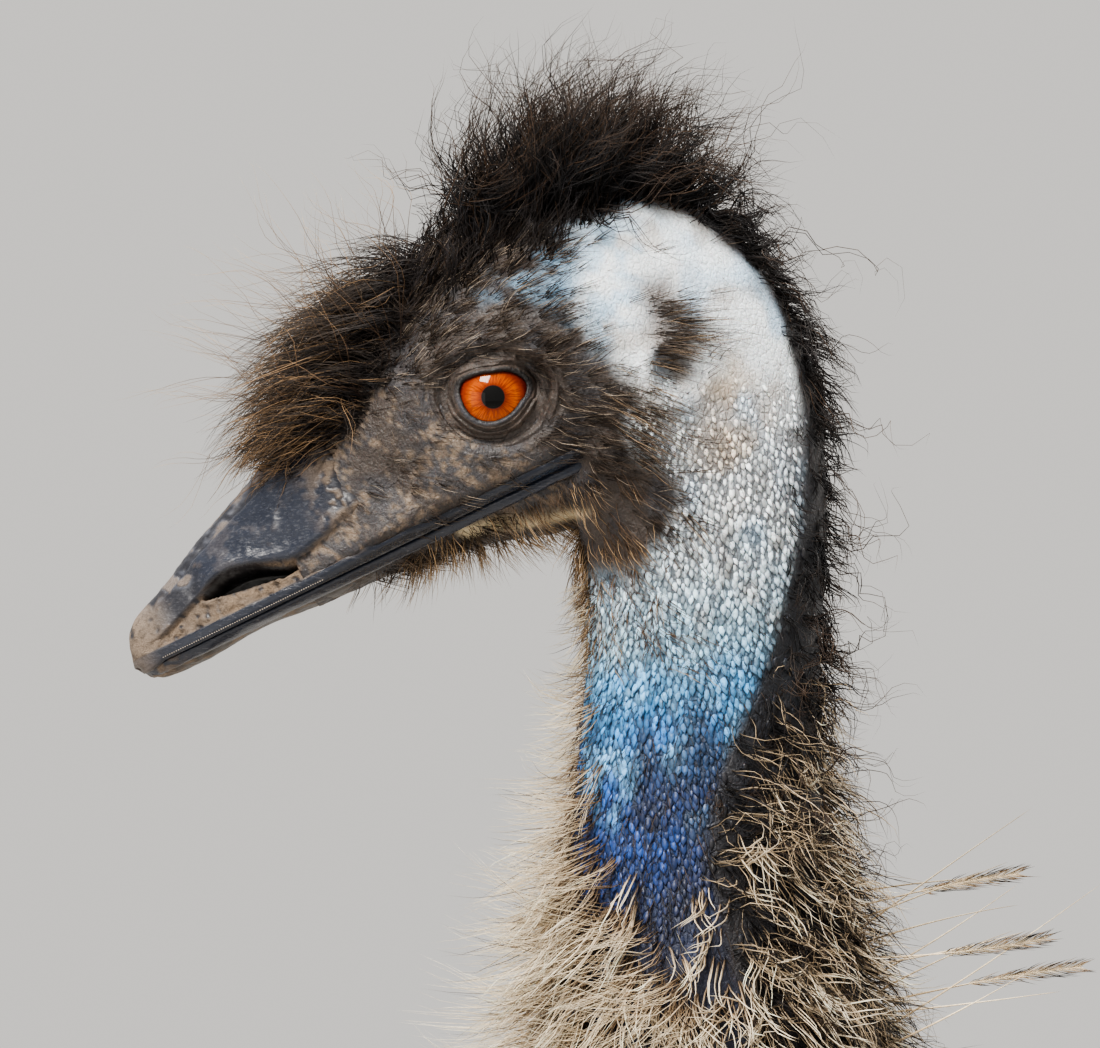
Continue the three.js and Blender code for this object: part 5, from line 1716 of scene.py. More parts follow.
@dataclass
class Barber:
    """Grows strands on a surface."""

    surface: Surface
    seed: int

    def grow(self, lie: Lie, keep: Mask, flow: Flow, tone: Tone, trim: Optional[Trim] = None) -> Strands:
        """Grows clumps of strands that fly free of the skin.

        Args:
            lie: How they grow.
            keep: Where they grow, as a share at each (point, normal).
            flow: The way they lie at each (point, normal).
            tone: Colour from (root, share along, strand's own random value).
            trim: A factor on the length at each root.

        Returns:
            The strands.
        """
        random = np.random.default_rng(self.seed)
        roots = self.surface.scatter(lie.clumps, keep, random)
        p, n = roots.points, roots.normals
        lay = flow(p, n)
        lay = unit(lay - n * (lay * n).sum(-1, keepdims=True) * 0.85)
        length = random.uniform(*lie.length, lie.clumps)
        if trim is not None:
            length = length * trim(p)
        step = (length / (lie.steps - 1))[:, None]
        way = unit(n * lie.rise + lay * (1 - lie.rise) + random.normal(0, lie.splay, p.shape))
        line = [p - n * lie.sunk]
        for _ in range(1, lie.steps):
            line.append(line[-1] + way * step)
            pull = lay + np.array([0, 0, -lie.sag])
            way = unit(way + lie.settle * (pull - way) + random.normal(0, lie.frizz, p.shape))
        out = np.repeat(n, lie.each, axis=0)
        kids, own = self.brood(np.stack(line, axis=1), out, lie, random)
        share = np.linspace(0, 1, lie.steps)
        if lie.curl:
            kids = kids + self.coiled(kids, share, lie, random)
        tint = tone(np.repeat(p, lie.each, axis=0), share, own)
        facing = out if lie.flat < 1 else None
        patch = np.repeat(roots.patch, lie.each, axis=0)
        return Strands(kids, self.tapered(len(kids), share, lie, random), tint, patch, lie.flat, facing)

    @staticmethod
    def brood(parent: Array, out: Array, lie: Lie, random: np.random.Generator) -> tuple[Array, Array]:
        """Several strands about each parent line, with a random value of their own.

        Args:
            parent: The parents' middle lines.
            out: The way out of the skin for each strand.
            lie: How they grow.
            random: The run of random numbers.

        Returns:
            The strands' middle lines and their own values from 0 to 1.
        """
        share = np.linspace(0, 1, lie.steps)
        kids = np.repeat(parent, lie.each, axis=0)
        offset = random.normal(0, 1, (len(kids), 3))
        offset -= out * (offset * out).sum(-1, keepdims=True)
        fan = 1 + (lie.gather - 1) * share
        kids = kids + offset[:, None] * (lie.spread / 1.5) * fan[None, :, None]
        scale = random.uniform(0.68, 1.08, len(kids))
        kids = kids[:, :1] + (kids - kids[:, :1]) * scale[:, None, None]
        return kids, random.random(len(kids))

    @staticmethod
    def coiled(kids: Array, share: Array, lie: Lie, random: np.random.Generator) -> Array:
        """How far each point of a strand moves for the strand to curl."""
        locks = len(kids) // lie.each
        run = unit(kids[:, -1] - kids[:, 0])
        axis = np.repeat(random.normal(0, 1, (locks, 3)), lie.each, axis=0)
        one = unit(np.cross(run, axis))
        two = np.cross(run, one)
        turns = (
            lie.turns * np.repeat(random.uniform(0.5, 1.3, locks), lie.each)
            * random.uniform(0.85, 1.15, len(kids))
        )
        start = np.repeat(random.uniform(0, TAU, locks), lie.each) + random.normal(0, 0.5, len(kids))
        phase = start[:, None] + share[None] * TAU * turns[:, None]
        size = lie.curl * random.uniform(0.4, 1.2, len(kids))[:, None] * share[None] ** 0.8
        return (
            one[:, None] * (np.cos(phase) * size)[..., None]
            + two[:, None] * (np.sin(phase) * size)[..., None]
        )

    @staticmethod
    def tapered(count: int, share: Array, lie: Lie, random: np.random.Generator) -> Array:
        """The strands' half widths."""
        own = random.uniform(0.75, 1.2, count)[:, None]
        return lie.wide * own * (1 - 0.9 * share[None] ** 1.6)

    def comb(self, lie: Lie, keep: Mask, flow: Flow, tone: Tone, deep: Mask) -> Strands:
        """Grows long feathers that hug the body and hang from it.

        Args:
            lie: How they grow.
            keep: Where they grow.
            flow: The way they lie.
            tone: Their colour.
            deep: The depth of the coat at each (point, normal).

        Returns:
            The strands.
        """
        random = np.random.default_rng(self.seed)
        roots = self.surface.scatter(lie.clumps, keep, random)
        row, column = roots.row.copy(), roots.column.copy()
        length = random.uniform(*lie.length, lie.clumps)
        step = (length / (lie.steps - 1))[:, None]
        height = deep(roots.points, roots.normals) * random.uniform(0.3, 1.0, lie.clumps)
        share = np.linspace(0, 1, lie.steps)
        sway = random.normal(0, lie.splay, (lie.clumps, 3))
        free = np.zeros(lie.clumps, bool)
        line = [roots.points - roots.normals * lie.sunk]
        way = np.zeros_like(line[0])
        last = len(self.surface.points) - 8
        for k in range(1, lie.steps):
            row, column = self.walked(row, column, free, flow, sway, step)
            p = self.surface.read(self.surface.points, row, column)
            n = unit(self.surface.read(self.surface.normals, row, column))
            hug = p + n * (height * math.sin(min(1.0, share[k] * 1.25) * math.pi / 2))[:, None]
            loose = line[-1] + unit(way * 0.8 + np.array([0.05, 0, -0.55])) * step
            free = free | (row > last) | (n[:, 2] < -0.35)
            spot = np.where(free[:, None] & (k > 1), loose, hug)
            way = unit(spot - line[-1])
            line.append(spot)
        out = np.repeat(roots.normals, lie.each, axis=0)
        kids, own = self.brood(np.stack(line, axis=1), 0.6 * out, lie, random)
        wave = random.normal(0, 1, (len(kids), 1, 3)) * lie.curl
        kids = kids + wave * (np.sin(share * TAU * lie.turns) * share)[None, :, None]
        tint = tone(np.repeat(roots.points, lie.each, axis=0), share, own)
        patch = np.repeat(roots.patch, lie.each, axis=0)
        return Strands(kids, self.tapered(len(kids), share, lie, random), tint, patch, lie.flat, out)

    def walked(
        self, row: Array, column: Array, free: Array, flow: Flow, sway: Array, step: Array
    ) -> tuple[Array, Array]:
        """The next rows and columns of feathers that follow the surface one step on."""
        surface = self.surface
        p, n = surface.read(surface.points, row, column), unit(surface.read(surface.normals, row, column))
        pull = flow(p, n) + sway
        move = unit(pull - n * (pull * n).sum(-1, keepdims=True)) * step
        a = surface.read(np.gradient(surface.points, axis=0), row, column)
        b = (np.roll(surface.points, -1, axis=1) - np.roll(surface.points, 1, axis=1)) / 2
        b = surface.read(b, row, column)
        aa, bb, ab = (a * a).sum(-1), (b * b).sum(-1), (a * b).sum(-1)
        am, bm = (a * move).sum(-1), (b * move).sum(-1)
        det = np.maximum(aa * bb - ab * ab, 1e-6)
        down = np.clip((bb * am - ab * bm) / det, -40, 40)
        round_it = np.clip((aa * bm - ab * am) / det, -40, 40)
        return row + np.where(free, 0, down), column + np.where(free, 0, round_it)


# The coat.


def ways(*stops: tuple[float, tuple[float, float, float]]) -> Flow:
    """A lie that turns smoothly from one direction to the next along X.

    Args:
        stops: Places along X, each with a direction on the bird's left; Y is outwards there.

    Returns:
        The lie at each (point, normal).
    """
    parts = [along([(x, way[axis]) for x, way in stops]) for axis in range(3)]

    def flow(p: Array, n: Array) -> Array:
        """The direction at places."""
        x, y, z = (part(p[:, 0]) for part in parts)
        return np.stack([x, y * np.tanh(p[:, 1] / 6), z], axis=1)

    return flow


def toned(
    *stops: tuple[float, Colour],
    vary: float = 0.35,
    other: Optional[Colour] = None,
    often: float = 0.0,
    where: Optional[Trim] = None,
) -> Tone:
    """Colours along a strand, varied from one to the next.

    Args:
        stops: Shares along the strand, each with a colour.
        vary: How much the strands differ in lightness.
        other: A colour that some strands take on.
        often: The share of strands that do.
        where: A factor on that share at each root.

    Returns:
        The colour at (root, share along, own random value).
    """
    run = colours(*stops)

    def tone(p: Array, share: Array, own: Array) -> Array:
        """The colours of strands."""
        light = (1 + vary * (2 * ((own * 7.3) % 1.0) - 1))[:, None, None]
        tint = run(share)[None] * light
        if other is not None:
            most = often * where(p) if where else often
            strange = (own < most).astype(float)[:, None, None] * smooth(0.0, 0.5, share)[None, :, None]
            tint = tint * (1 - strange) + np.array(other)[None, None] * light * strange
        return np.clip(tint, 0, 1)

    return tone


BLACK: Colour = (0.009, 0.008, 0.009)
SOOT: Colour = (0.021, 0.017, 0.016)
UMBER: Colour = (0.070, 0.043, 0.027)
FAWN: Colour = (0.27, 0.175, 0.10)
STRAW: Colour = (0.55, 0.41, 0.25)
IVORY: Colour = (0.72, 0.61, 0.44)


class Plumage:
    """The coat, piece by piece, from the bill's base to the tail."""

    def __init__(self, skin: Skin, maker: Maker) -> None:
        """Keeps the skin and the hands that make objects."""
        self.skin = skin
        self.maker = maker
        self.hair = CoatFinish("hair", 0.6, 0.22).material()
        self.feather = CoatFinish("plumage", 0.62, 0.3).material()

    def piece(self, name: str, slot: str, strands: Sequence[Strands], finish: Material) -> Thing:
        """Makes one piece of the coat."""
        shape = Shape.joined([part.shape() for part in strands])
        made = self.maker.mesh(name, shape, finish)
        return self.maker.keep(made, slot)

    def head(self) -> None:
        """The hair of the crown and brow, then the rest of the head."""
        bare = self.skin.surface
        black = toned((0, BLACK), (0.7, SOOT), (1, UMBER), other=UMBER, often=0.12)
        hairline = along([
            (-46, -2), (-27, 16), (-15, 22), (6, 29), (19, 37.5), (31, 47), (47, 44.5), (63, 31),
            (73, 13), (77, -10)
        ])

        def crown(p: Array, n: Array) -> Array:
            """Where the black hair of the crown grows."""
            x, z = p[:, 0], p[:, 2]
            edge = hairline(x) + 3 * (grain(p, 4, 60) - 0.5)
            return smooth(-1.5, 2, z - edge) * smooth(80, 74, x) * smooth(-52, -44, x)

        def peak(p: Array, n: Array) -> Array:
            """Where the tall hair of the crest grows."""
            return (
                crown(p, n) * bell(p[:, 0], 22, 24) * smooth(0.45, 0.8, n[:, 2])
                * smooth(19, 12, np.abs(p[:, 1]))
            )

        upward = ways(
            (-50, (-0.6, 0.2, -0.1)), (-30, (0.2, 0.3, 0.3)), (-14, (0.35, 0.25, 0.8)),
            (8, (0.15, 0.15, 1.0)), (30, (0.4, 0.2, 0.9)), (50, (0.85, 0.15, 0.35)), (72, (0.75, 0.2, -0.6)),
        )
        tall = along([(-14, 0.55), (0, 0.9), (20, 1.0), (36, 0.88), (50, 0.55)])

        def trim(p: Array) -> Array:
            """How tall the crest stands along the crown."""
            return tall(p[:, 0])

        crest = Barber(bare, 101).grow(
            Lie(
                370, 6, (26, 50), 0.16, 10, rise=0.78, settle=0.14, spread=1.6, gather=0.8, splay=0.32,
                curl=4.2, turns=1.5, frizz=0.20
            ),
            peak, upward, black, trim,
        )
        coils = Barber(bare, 108).grow(
            Lie(
                84, 4, (38, 54), 0.16, 16, rise=0.8, settle=0.08, spread=1.2, gather=2.4, splay=0.3,
                curl=3.0, turns=2.6, frizz=0.24
            ),
            peak, upward, toned((0, SOOT), (1, UMBER)), trim,
        )
        wisps = Barber(bare, 102).grow(
            Lie(
                14, 3, (52, 70), 0.14, 16, rise=0.8, settle=0.06, spread=0.8, gather=0.9, splay=0.3,
                curl=4.5, turns=2.6, frizz=0.28
            ),
            lambda p, n: peak(p, n) * smooth(14, 30, p[:, 0]), upward, toned((0, SOOT), (1, UMBER)),
        )
        self.piece("crest", "dark_plumage", [crest, coils, wisps], self.hair)
        cap = Barber(bare, 103).grow(
            Lie(
                560, 6, (11, 22), 0.16, 6, rise=0.34, settle=0.3, spread=1.7, gather=0.9, splay=0.26,
                curl=2.2, turns=1.0, frizz=0.2
            ),
            lambda p, n: crown(p, n) * smooth(-40, -26, p[:, 0]), upward,
            toned((0, BLACK), (0.6, SOOT), (1, (0.05, 0.045, 0.05)), other=UMBER, often=0.1),
        )
        self.piece("crown_hair", "dark_plumage", [cap], self.hair)
        self.brow()
        self.nape()
        self.face()

    def brow(self) -> None:
        """The tuft that sweeps forwards and down over the base of the bill."""
        bare = self.skin.surface
        below = along([(-57, -18), (-39, -12), (-30, -5), (-24, 6), (-12, 22)])

        def root(p: Array, n: Array) -> Array:
            """Where the tuft grows."""
            x, z = p[:, 0], p[:, 2]
            ahead, _ = to_head(p)
            edge = below(x) + 3 * (grain(p, 4, 61) - 0.5)
            return smooth(-12, -22, x) * smooth(59, 56.5, ahead) * smooth(-1.0, 3, z - edge)

        forward = ways(
            (-60, (-0.7, 0.3, -0.75)), (-42, (-0.95, 0.35, -0.2)), (-28, (-1.0, 0.4, 0.2)),
            (-16, (-1.0, 0.35, 0.35))
        )
        longer = along([(-56, 0.6), (-46, 0.92), (-32, 1.08), (-18, 0.95)])

        def trim(p: Array) -> Array:
            """How long the tuft is, short next to the bill and at its lower edge."""
            x, z = p[:, 0], p[:, 2]
            return longer(x) * (0.45 + 0.55 * smooth(0, 14, z - below(x)))

        fringe = along([(-58, 1.0), (-48, 0.75), (-36, 0.34), (-22, 0.08)])
        tone = toned(
            (0, BLACK), (0.4, SOOT), (0.75, (0.050, 0.038, 0.030)), (1, (0.105, 0.078, 0.056)), other=FAWN,
            often=0.75, where=lambda p: fringe(p[:, 0]),
        )
        tuft = Barber(bare, 104).grow(
            Lie(
                480, 7, (20, 40), 0.135, 8, rise=0.62, settle=0.19, sag=0.42, spread=1.8, gather=0.9,
                splay=0.24, curl=2.6, turns=0.8, frizz=0.13
            ),
            root, forward, tone, trim,
        )
        lifted = ways((-60, (-0.9, 0.35, -0.1)), (-40, (-0.9, 0.35, 0.5)), (-24, (-0.75, 0.3, 0.8)))
        strays = Barber(bare, 105).grow(
            Lie(
                60, 3, (32, 56), 0.10, 14, rise=0.6, settle=0.12, sag=0.35, spread=1.4, gather=1.8,
                splay=0.3, curl=4.0, turns=1.0, frizz=0.12
            ),
            root, lifted, toned((0, SOOT), (0.4, UMBER), (0.75, FAWN), (1, STRAW)),
        )
        self.piece("brow_tuft", "dark_plumage", [tuft, strays], self.hair)

    def nape(self) -> None:
        """The black mane down the back of the neck, with loose curls and pale strands below."""
        bare = self.skin.surface
        down = ways((44, (0.8, 0.35, 0.2)), (66, (0.5, 0.4, -0.6)), (90, (0.45, 0.35, -0.85)))

        def mane(p: Array, n: Array) -> Array:
            """Where the mane grows."""
            return Marks.nape(p) * smooth(180, 140, -p[:, 2]) * (0.6 + 0.4 * smooth(50, 90, -p[:, 2]))

        longer = along([(0, 0.9), (60, 1.0), (100, 1.5), (150, 1.7)])
        thick = Barber(bare, 106).grow(
            Lie(
                760, 5, (9, 19), 0.17, 7, rise=0.46, settle=0.24, sag=-0.25, spread=1.9, gather=1.2,
                splay=0.28, curl=2.6, turns=1.0, frizz=0.2
            ),
            mane, down,
            toned(
                (0, BLACK), (0.7, SOOT), (1, UMBER), other=(0.52, 0.41, 0.28), often=0.42,
                where=lambda p: smooth(52, 95, -p[:, 2]),
            ),
            lambda p: longer(-p[:, 2]),
        )
        curls = Barber(bare, 107).grow(
            Lie(
                96, 3, (22, 38), 0.145, 14, rise=0.7, settle=0.1, spread=1.2, gather=1.6, splay=0.3,
                curl=3.4, turns=2.3, frizz=0.26
            ),
            mane, down, toned((0, SOOT), (1, UMBER)),
        )
        self.piece("nape_mane", "dark_plumage", [thick, curls], self.hair)

    def face(self) -> None:
        """Short hair round the eyes, the ear tufts and the beard of chin and throat."""
        bare = self.skin.surface

        def cheeks(p: Array, n: Array) -> Array:
            """Where short brown hair covers the face."""
            x, z = p[:, 0], p[:, 2]
            ahead, above = to_head(p)
            eye = np.hypot(x / 12.2, (z + 0.8) / 9.2)
            zone = smooth(47, 38, ahead) * smooth(-56, -46, z) * smooth(58, 48, x) * smooth(42, 36, z)
            lores = within(Marks.LORES, x, z, 3)
            mouth = 1 - bell(above, -0.8, 2.6) * smooth(-15, -11, ahead)
            beard = smooth(-4, -7, above) * smooth(-24, -15, ahead)
            return (
                (1 - beard) * zone * smooth(1.0, 1.12, eye) * (1 - 0.97 * Marks.bare(p))
                * (1 - 0.85 * lores) * mouth
            )

        def past_eye(p: Array, n: Array) -> Array:
            """The lie of the face's hair, back past the eye."""
            y, z = p[:, 1], p[:, 2]
            lift = np.where(z > 4, 0.42, -0.08) - 0.45 * smooth(-14, -34, z)
            return np.stack([np.full(len(p), 0.95), 0.14 * np.sign(y), lift], axis=1)

        fuzz = Barber(bare, 111).grow(
            Lie(
                2000, 4, (5.5, 12), 0.098, 4, rise=0.26, settle=0.3, spread=1.2, gather=1.3, splay=0.2,
                curl=0.5, turns=0.6, frizz=0.1, sunk=0.4
            ),
            cheeks, past_eye,
            toned(
                (0, SOOT), (0.5, (0.052, 0.037, 0.028)), (1, (0.105, 0.078, 0.057)), vary=0.55,
                other=(0.32, 0.265, 0.21), often=0.17
            ),
        )
        self.piece("face_hair", "dark_plumage", [fuzz], self.hair)

        def ear(p: Array, n: Array) -> Array:
            """Where the ear tufts grow."""
            x, y, z = p.T
            fan = smooth(1.1, 0.8, np.hypot((x - 39) / 5, (z - 16) / 9))
            tail = 0.55 * smooth(1.1, 0.8, np.hypot((x - 30) / 7, z / 13))
            tuft = 0.5 * smooth(1.1, 0.8, np.hypot((x - 40) / 6, (z + 24) / 7))
            return np.maximum(np.maximum(fan, tail), tuft) * smooth(12, 20, np.abs(y))

        def swept(p: Array, n: Array) -> Array:
            """The lie of the ear tufts, back and fanned."""
            return np.stack(
                [np.full(len(p), 0.9), 0.2 * np.sign(p[:, 1]), -0.16 + 0.026 * (p[:, 2] - 8)], axis=1
            )

        tufts = Barber(bare, 112).grow(
            Lie(
                240, 5, (11, 26), 0.09, 7, rise=0.14, settle=0.2, sag=0.04, spread=1.6, gather=1.7,
                splay=0.1, curl=0.8, frizz=0.06
            ),
            ear, swept,
            toned(
                (0, SOOT), (0.5, (0.075, 0.057, 0.045)), (1, (0.15, 0.115, 0.085)), vary=0.5,
                other=(0.40, 0.29, 0.19), often=0.2
            ),
        )
        self.piece("ear_tufts", "dark_plumage", [tufts], self.hair)

        def chin(p: Array, n: Array) -> Array:
            """Where the beard grows, under the jaw and on the throat."""
            x, z = p[:, 0], p[:, 2]
            ahead, above = to_head(p)
            low = smooth(-2.8, -5, above) * smooth(50, 34, ahead) * smooth(-24, -12, ahead)
            throat = bell(z, -46, 12) * smooth(40, 26, x) * smooth(-24, -12, x)
            return (
                np.clip(low + throat, 0, 1) * smooth(-66, -54, z)
                * (1 - 0.75 * within(Marks.JAW_LINE, x, z, 2))
            )

        hang = ways(
            (-60, (-0.1, 0.1, -0.9)), (-10, (0.2, 0.15, -1.0)), (20, (0.6, 0.25, -0.75)),
            (40, (0.75, 0.2, -0.6))
        )
        golden = along([(-38, 0.15), (-15, 1.0), (14, 1.0), (27, 0.3), (34, 0.1)])
        beard = Barber(bare, 113).grow(
            Lie(
                420, 4, (7, 14), 0.095, 5, rise=0.5, settle=0.24, spread=1.7, gather=1.4, splay=0.18,
                curl=0.6, frizz=0.1, sunk=0.5
            ),
            chin, hang,
            toned(
                (0, UMBER), (0.5, (0.12, 0.075, 0.045)), (1, (0.22, 0.145, 0.085)), vary=0.45,
                other=(0.46, 0.32, 0.185), often=0.85, where=lambda p: golden(p[:, 0]),
            ),
        )
        self.piece("chin_beard", "dark_plumage", [beard], self.hair)

    def neck(self) -> None:
        """The fringe down the front of the neck and the feathers of its lower part."""
        bare = self.skin.surface

        def front(p: Array, n: Array) -> Array:
            """Where the fringe grows."""
            x, z = p[:, 0], p[:, 2]
            line = along([(45, 25), (90, 27), (120, 36), (150, 60)])(-z)
            return smooth(-36, -50, z) * smooth(-185, -150, z) * smooth(2.5, -3, x - line) * smooth(-12, 0, x)

        upcurved = ways((10, (-0.6, 0.3, -0.7)), (60, (-0.2, 0.35, -0.9)))
        reach = along([(45, 0.75), (80, 1.15), (110, 1.7), (150, 2.3)])
        fringe = Barber(bare, 122).grow(
            Lie(
                560, 5, (12, 20), 0.12, 6, rise=0.55, settle=0.27, sag=-1.25, spread=1.8, gather=1.2,
                splay=0.2, curl=1.0, turns=0.6, frizz=0.1
            ),
            front, upcurved,
            toned(
                (0, UMBER), (0.15, FAWN), (0.5, (0.80, 0.68, 0.50)), (1, (0.86, 0.76, 0.60)), vary=0.25,
                other=UMBER, often=0.12
            ),
            lambda p: reach(-p[:, 2]),
        )
        self.piece("throat_fringe", "plumage", [fringe], self.hair)
        start = along([(10, -92), (24, -106), (36, -118), (58, -108), (72, -80), (84, -64), (100, -56)])

        def collar(p: Array, n: Array) -> Array:
            """Where the small feathers above the breast grow."""
            x, z = p[:, 0], p[:, 2]
            edge = start(x) + 14 * (grain(p, 7, 62) - 0.5)
            return smooth(3, -10, z - edge) * smooth(-215, -175, z)

        outward_down = ways((0, (-0.5, 0.35, -0.75)), (50, (0.0, 0.42, -0.85)), (110, (0.55, 0.35, -0.75)))
        size = along([(90, 0.55), (130, 0.85), (200, 1.4)])
        behind = along([(10, 0.03), (60, 0.12), (85, 0.55)])
        cream = toned(
            (0, UMBER), (0.15, (0.32, 0.235, 0.16)), (0.4, (0.72, 0.60, 0.44)), (0.85, (0.88, 0.79, 0.64)),
            (1, (0.56, 0.43, 0.28)),
                      vary=0.35, other=SOOT, often=0.6, where=lambda p: behind(p[:, 0]))
        ahead_more = along([(20, 1.7), (45, 1.05), (90, 1.0)])
        cape = Barber(bare, 131).grow(
            Lie(
                740, 6, (19, 31), 0.34, 7, rise=0.40, settle=0.27, sag=-1.0, spread=2.6, gather=1.1,
                splay=0.2, curl=1.8, turns=0.6, frizz=0.09, flat=0.5
            ),
            collar, outward_down, cream, lambda p: size(-p[:, 2]) * ahead_more(p[:, 0]),
        )
        self.piece("neck_feathers_1", "plumage", [cape], self.feather)
        lower = Barber(bare, 132).grow(
            Lie(
                360, 6, (48, 74), 1.0, 6, rise=0.3, settle=0.34, sag=0.1, spread=5, gather=1.3, splay=0.14,
                curl=2.0, turns=0.7, frizz=0.06, flat=0.4
            ),
            lambda p, n: smooth(-150, -190, p[:, 2]) * smooth(-360, -300, p[:, 2]), outward_down,
            toned(
                (0, UMBER), (0.4, (0.40, 0.31, 0.22)), (0.8, (0.46, 0.36, 0.25)), (1, UMBER), vary=0.4,
                other=(0.12, 0.085, 0.06), often=0.2
            ),
        )
        self.piece("neck_feathers_2", "plumage", [lower], self.feather)
        self.shafts()

    def shafts(self) -> None:
        """A few long pale feathers that stand out behind the neck, barbed near their tips."""
        random = np.random.default_rng(133)
        count, steps = 13, 14
        turn = np.linspace(0, 1, count)
        root = np.stack([84 + 14 * turn, random.uniform(-14, 10, count), -121 - 34 * turn], axis=1)
        slope = np.radians(random.permutation(np.linspace(2, 36, count)))
        way = np.stack([np.cos(slope), random.uniform(-0.28, 0.22, count), np.sin(slope)], axis=1)
        long = random.uniform(34, 60, count)[:, None, None]
        share = np.linspace(0, 1, steps)
        lines = root[:, None] + way[:, None] * long * share[None, :, None]
        bend = random.uniform(-7, 5, count)[:, None] * share[None] ** 2
        lines[..., 2] += bend
        wide = np.repeat(0.34 * (1 - 0.8 * share)[None], count, axis=0)
        tone = toned((0, STRAW), (0.6, IVORY), (1, (0.40, 0.30, 0.19)), vary=0.2)
        patch = np.stack([0.2 + 0.04 * turn, 0.35 + 0.02 * turn], axis=1)
        quills = Strands(lines, wide, tone(root, share, random.random(count)), patch)
        spots = np.linspace(0.42, 0.97, 46)
        barbs, own = [], []
        for line in lines[1::4]:
            here = np.stack([np.interp(spots, share, line[:, axis]) for axis in range(3)], axis=1)
            run = unit(line[-1] - line[-3])
            for hand in (-1, 1):
                side = unit(np.cross(run, [0.1, 1.0, 0.0])) * hand
                size = (
                    random.uniform(5.0, 8.5, len(spots))[:, None]
                    * np.sin((spots - 0.36) / 0.7 * math.pi)[:, None] ** 0.5
                )
                tips = here + (run * 1.0 + side * 0.27) * size + random.normal(0, 0.4, here.shape)
                barbs.append(np.stack([here, here * 0.45 + tips * 0.55 + side * 0.25, tips], axis=1))
                own.append(random.random(len(spots)))
        barbs, own = np.concatenate(barbs), np.concatenate(own)
        thin = np.repeat(np.array([[0.14, 0.11, 0.04]]), len(barbs), axis=0)
        dark = toned((0, IVORY), (0.5, FAWN), (1, UMBER), vary=0.4, other=SOOT, often=0.5)
        patches = np.repeat([[0.26, 0.36]], len(barbs), axis=0)
        vanes = Strands(barbs, thin, dark(barbs[:, 0], np.array([0.0, 0.5, 1.0]), own), patches)
        self.piece("neck_quills", "plumage", [quills, vanes], self.feather)

    def body(self, legs: Sequence["Leg"]) -> None:
        """The long loose feathers of breast, back, flanks, belly, tail and thighs."""
        bare = self.skin.bare

        def falling(p: Array, n: Array) -> Array:
            """The lie of the body's feathers, back and down."""
            side = np.tanh(p[:, 1] / 45)
            return np.stack(
                [np.full(len(p), 0.8), side * 0.5 * np.maximum(0, n[:, 2]), np.full(len(p), -1.0)], axis=1
            )

        def deep(p: Array, n: Array) -> Array:
            """How deep the coat is."""
            up = n[:, 2]
            tail = smooth(520, 680, p[:, 0])
            neck = smooth(-300, -420, p[:, 2])
            return (
                (mix(mix(42, 26, smooth(0.2, 0.9, up)), 50, smooth(-0.2, -0.9, up)) + 14 * tail)
                * (0.5 + 0.5 * neck)
            )

        def shoulder(p: Array) -> Array:
            """A factor that thickens the coat on the shoulders."""
            return 0.4 + 0.6 * bell(p[:, 0], 260, 70) * smooth(-620, -560, p[:, 2])

        shaggy = toned(
            (0, (0.15, 0.12, 0.095)), (0.5, (0.14, 0.10, 0.068)), (0.85, (0.08, 0.055, 0.04)), (1, SOOT),
                       vary=0.5, other=(0.29, 0.225, 0.155), often=0.24)
        zones: dict[str, tuple[int, Mask]] = {
            "breast": (
                520,
                lambda p, n: smooth(-270, -330, p[:, 2]) * smooth(250, 200, p[:, 0])
                * (0.55 + 0.45 * bell(p[:, 1], 0, 30))
            ),
            "back": (
                570,
                lambda p, n: smooth(150, 210, p[:, 0]) * smooth(0.0, 0.5, n[:, 2])
                * (0.45 + 0.55 * bell(p[:, 1], 0, 30))
            ),
            "flanks": (
                740,
                lambda p, n: smooth(140, 200, p[:, 0]) * smooth(0.85, 0.35, np.abs(n[:, 2])) * shoulder(p)
            ),
            "belly": (220, lambda p, n: smooth(190, 240, p[:, 0]) * smooth(-0.1, -0.5, n[:, 2])),
            "rump": (290, lambda p, n: smooth(560, 640, p[:, 0])),
        }
        for number, (name, (count, zone)) in enumerate(zones.items()):
            long = (110, 170) if name == "breast" else (150, 230)
            lie = Lie(
                count, 5, long, 2.3, 6, spread=10, gather=1.3, splay=0.18, curl=6, turns=0.8, sunk=5,
                flat=0.32
            )
            coat = Barber(bare, 140 + number).comb(lie, zone, falling, shaggy, deep)
            self.piece("feathers_" + name, "plumage", [coat], self.feather)
        for leg in legs:
            lie = Lie(
                260, 5, (70, 120), 2.1, 5, spread=7, gather=1.0, splay=0.08, curl=2, turns=0.7, sunk=4,
                flat=0.32
            )
            coat = Barber(leg.sleeve(), 150 + leg.side.value).comb(
                lie, lambda p, n: np.ones(len(p)),
                lambda p, n: np.stack([np.full(len(p), 0.15), 0 * p[:, 1], np.full(len(p), -1.0)], axis=1),
                shaggy, lambda p, n: 9 + 11 * smooth(-1050, -850, p[:, 2]),
            )
            self.piece("feathers_thigh_" + leg.side.label, "plumage", [coat], self.feather)


# What geometry nodes grow on the skin and the bill.


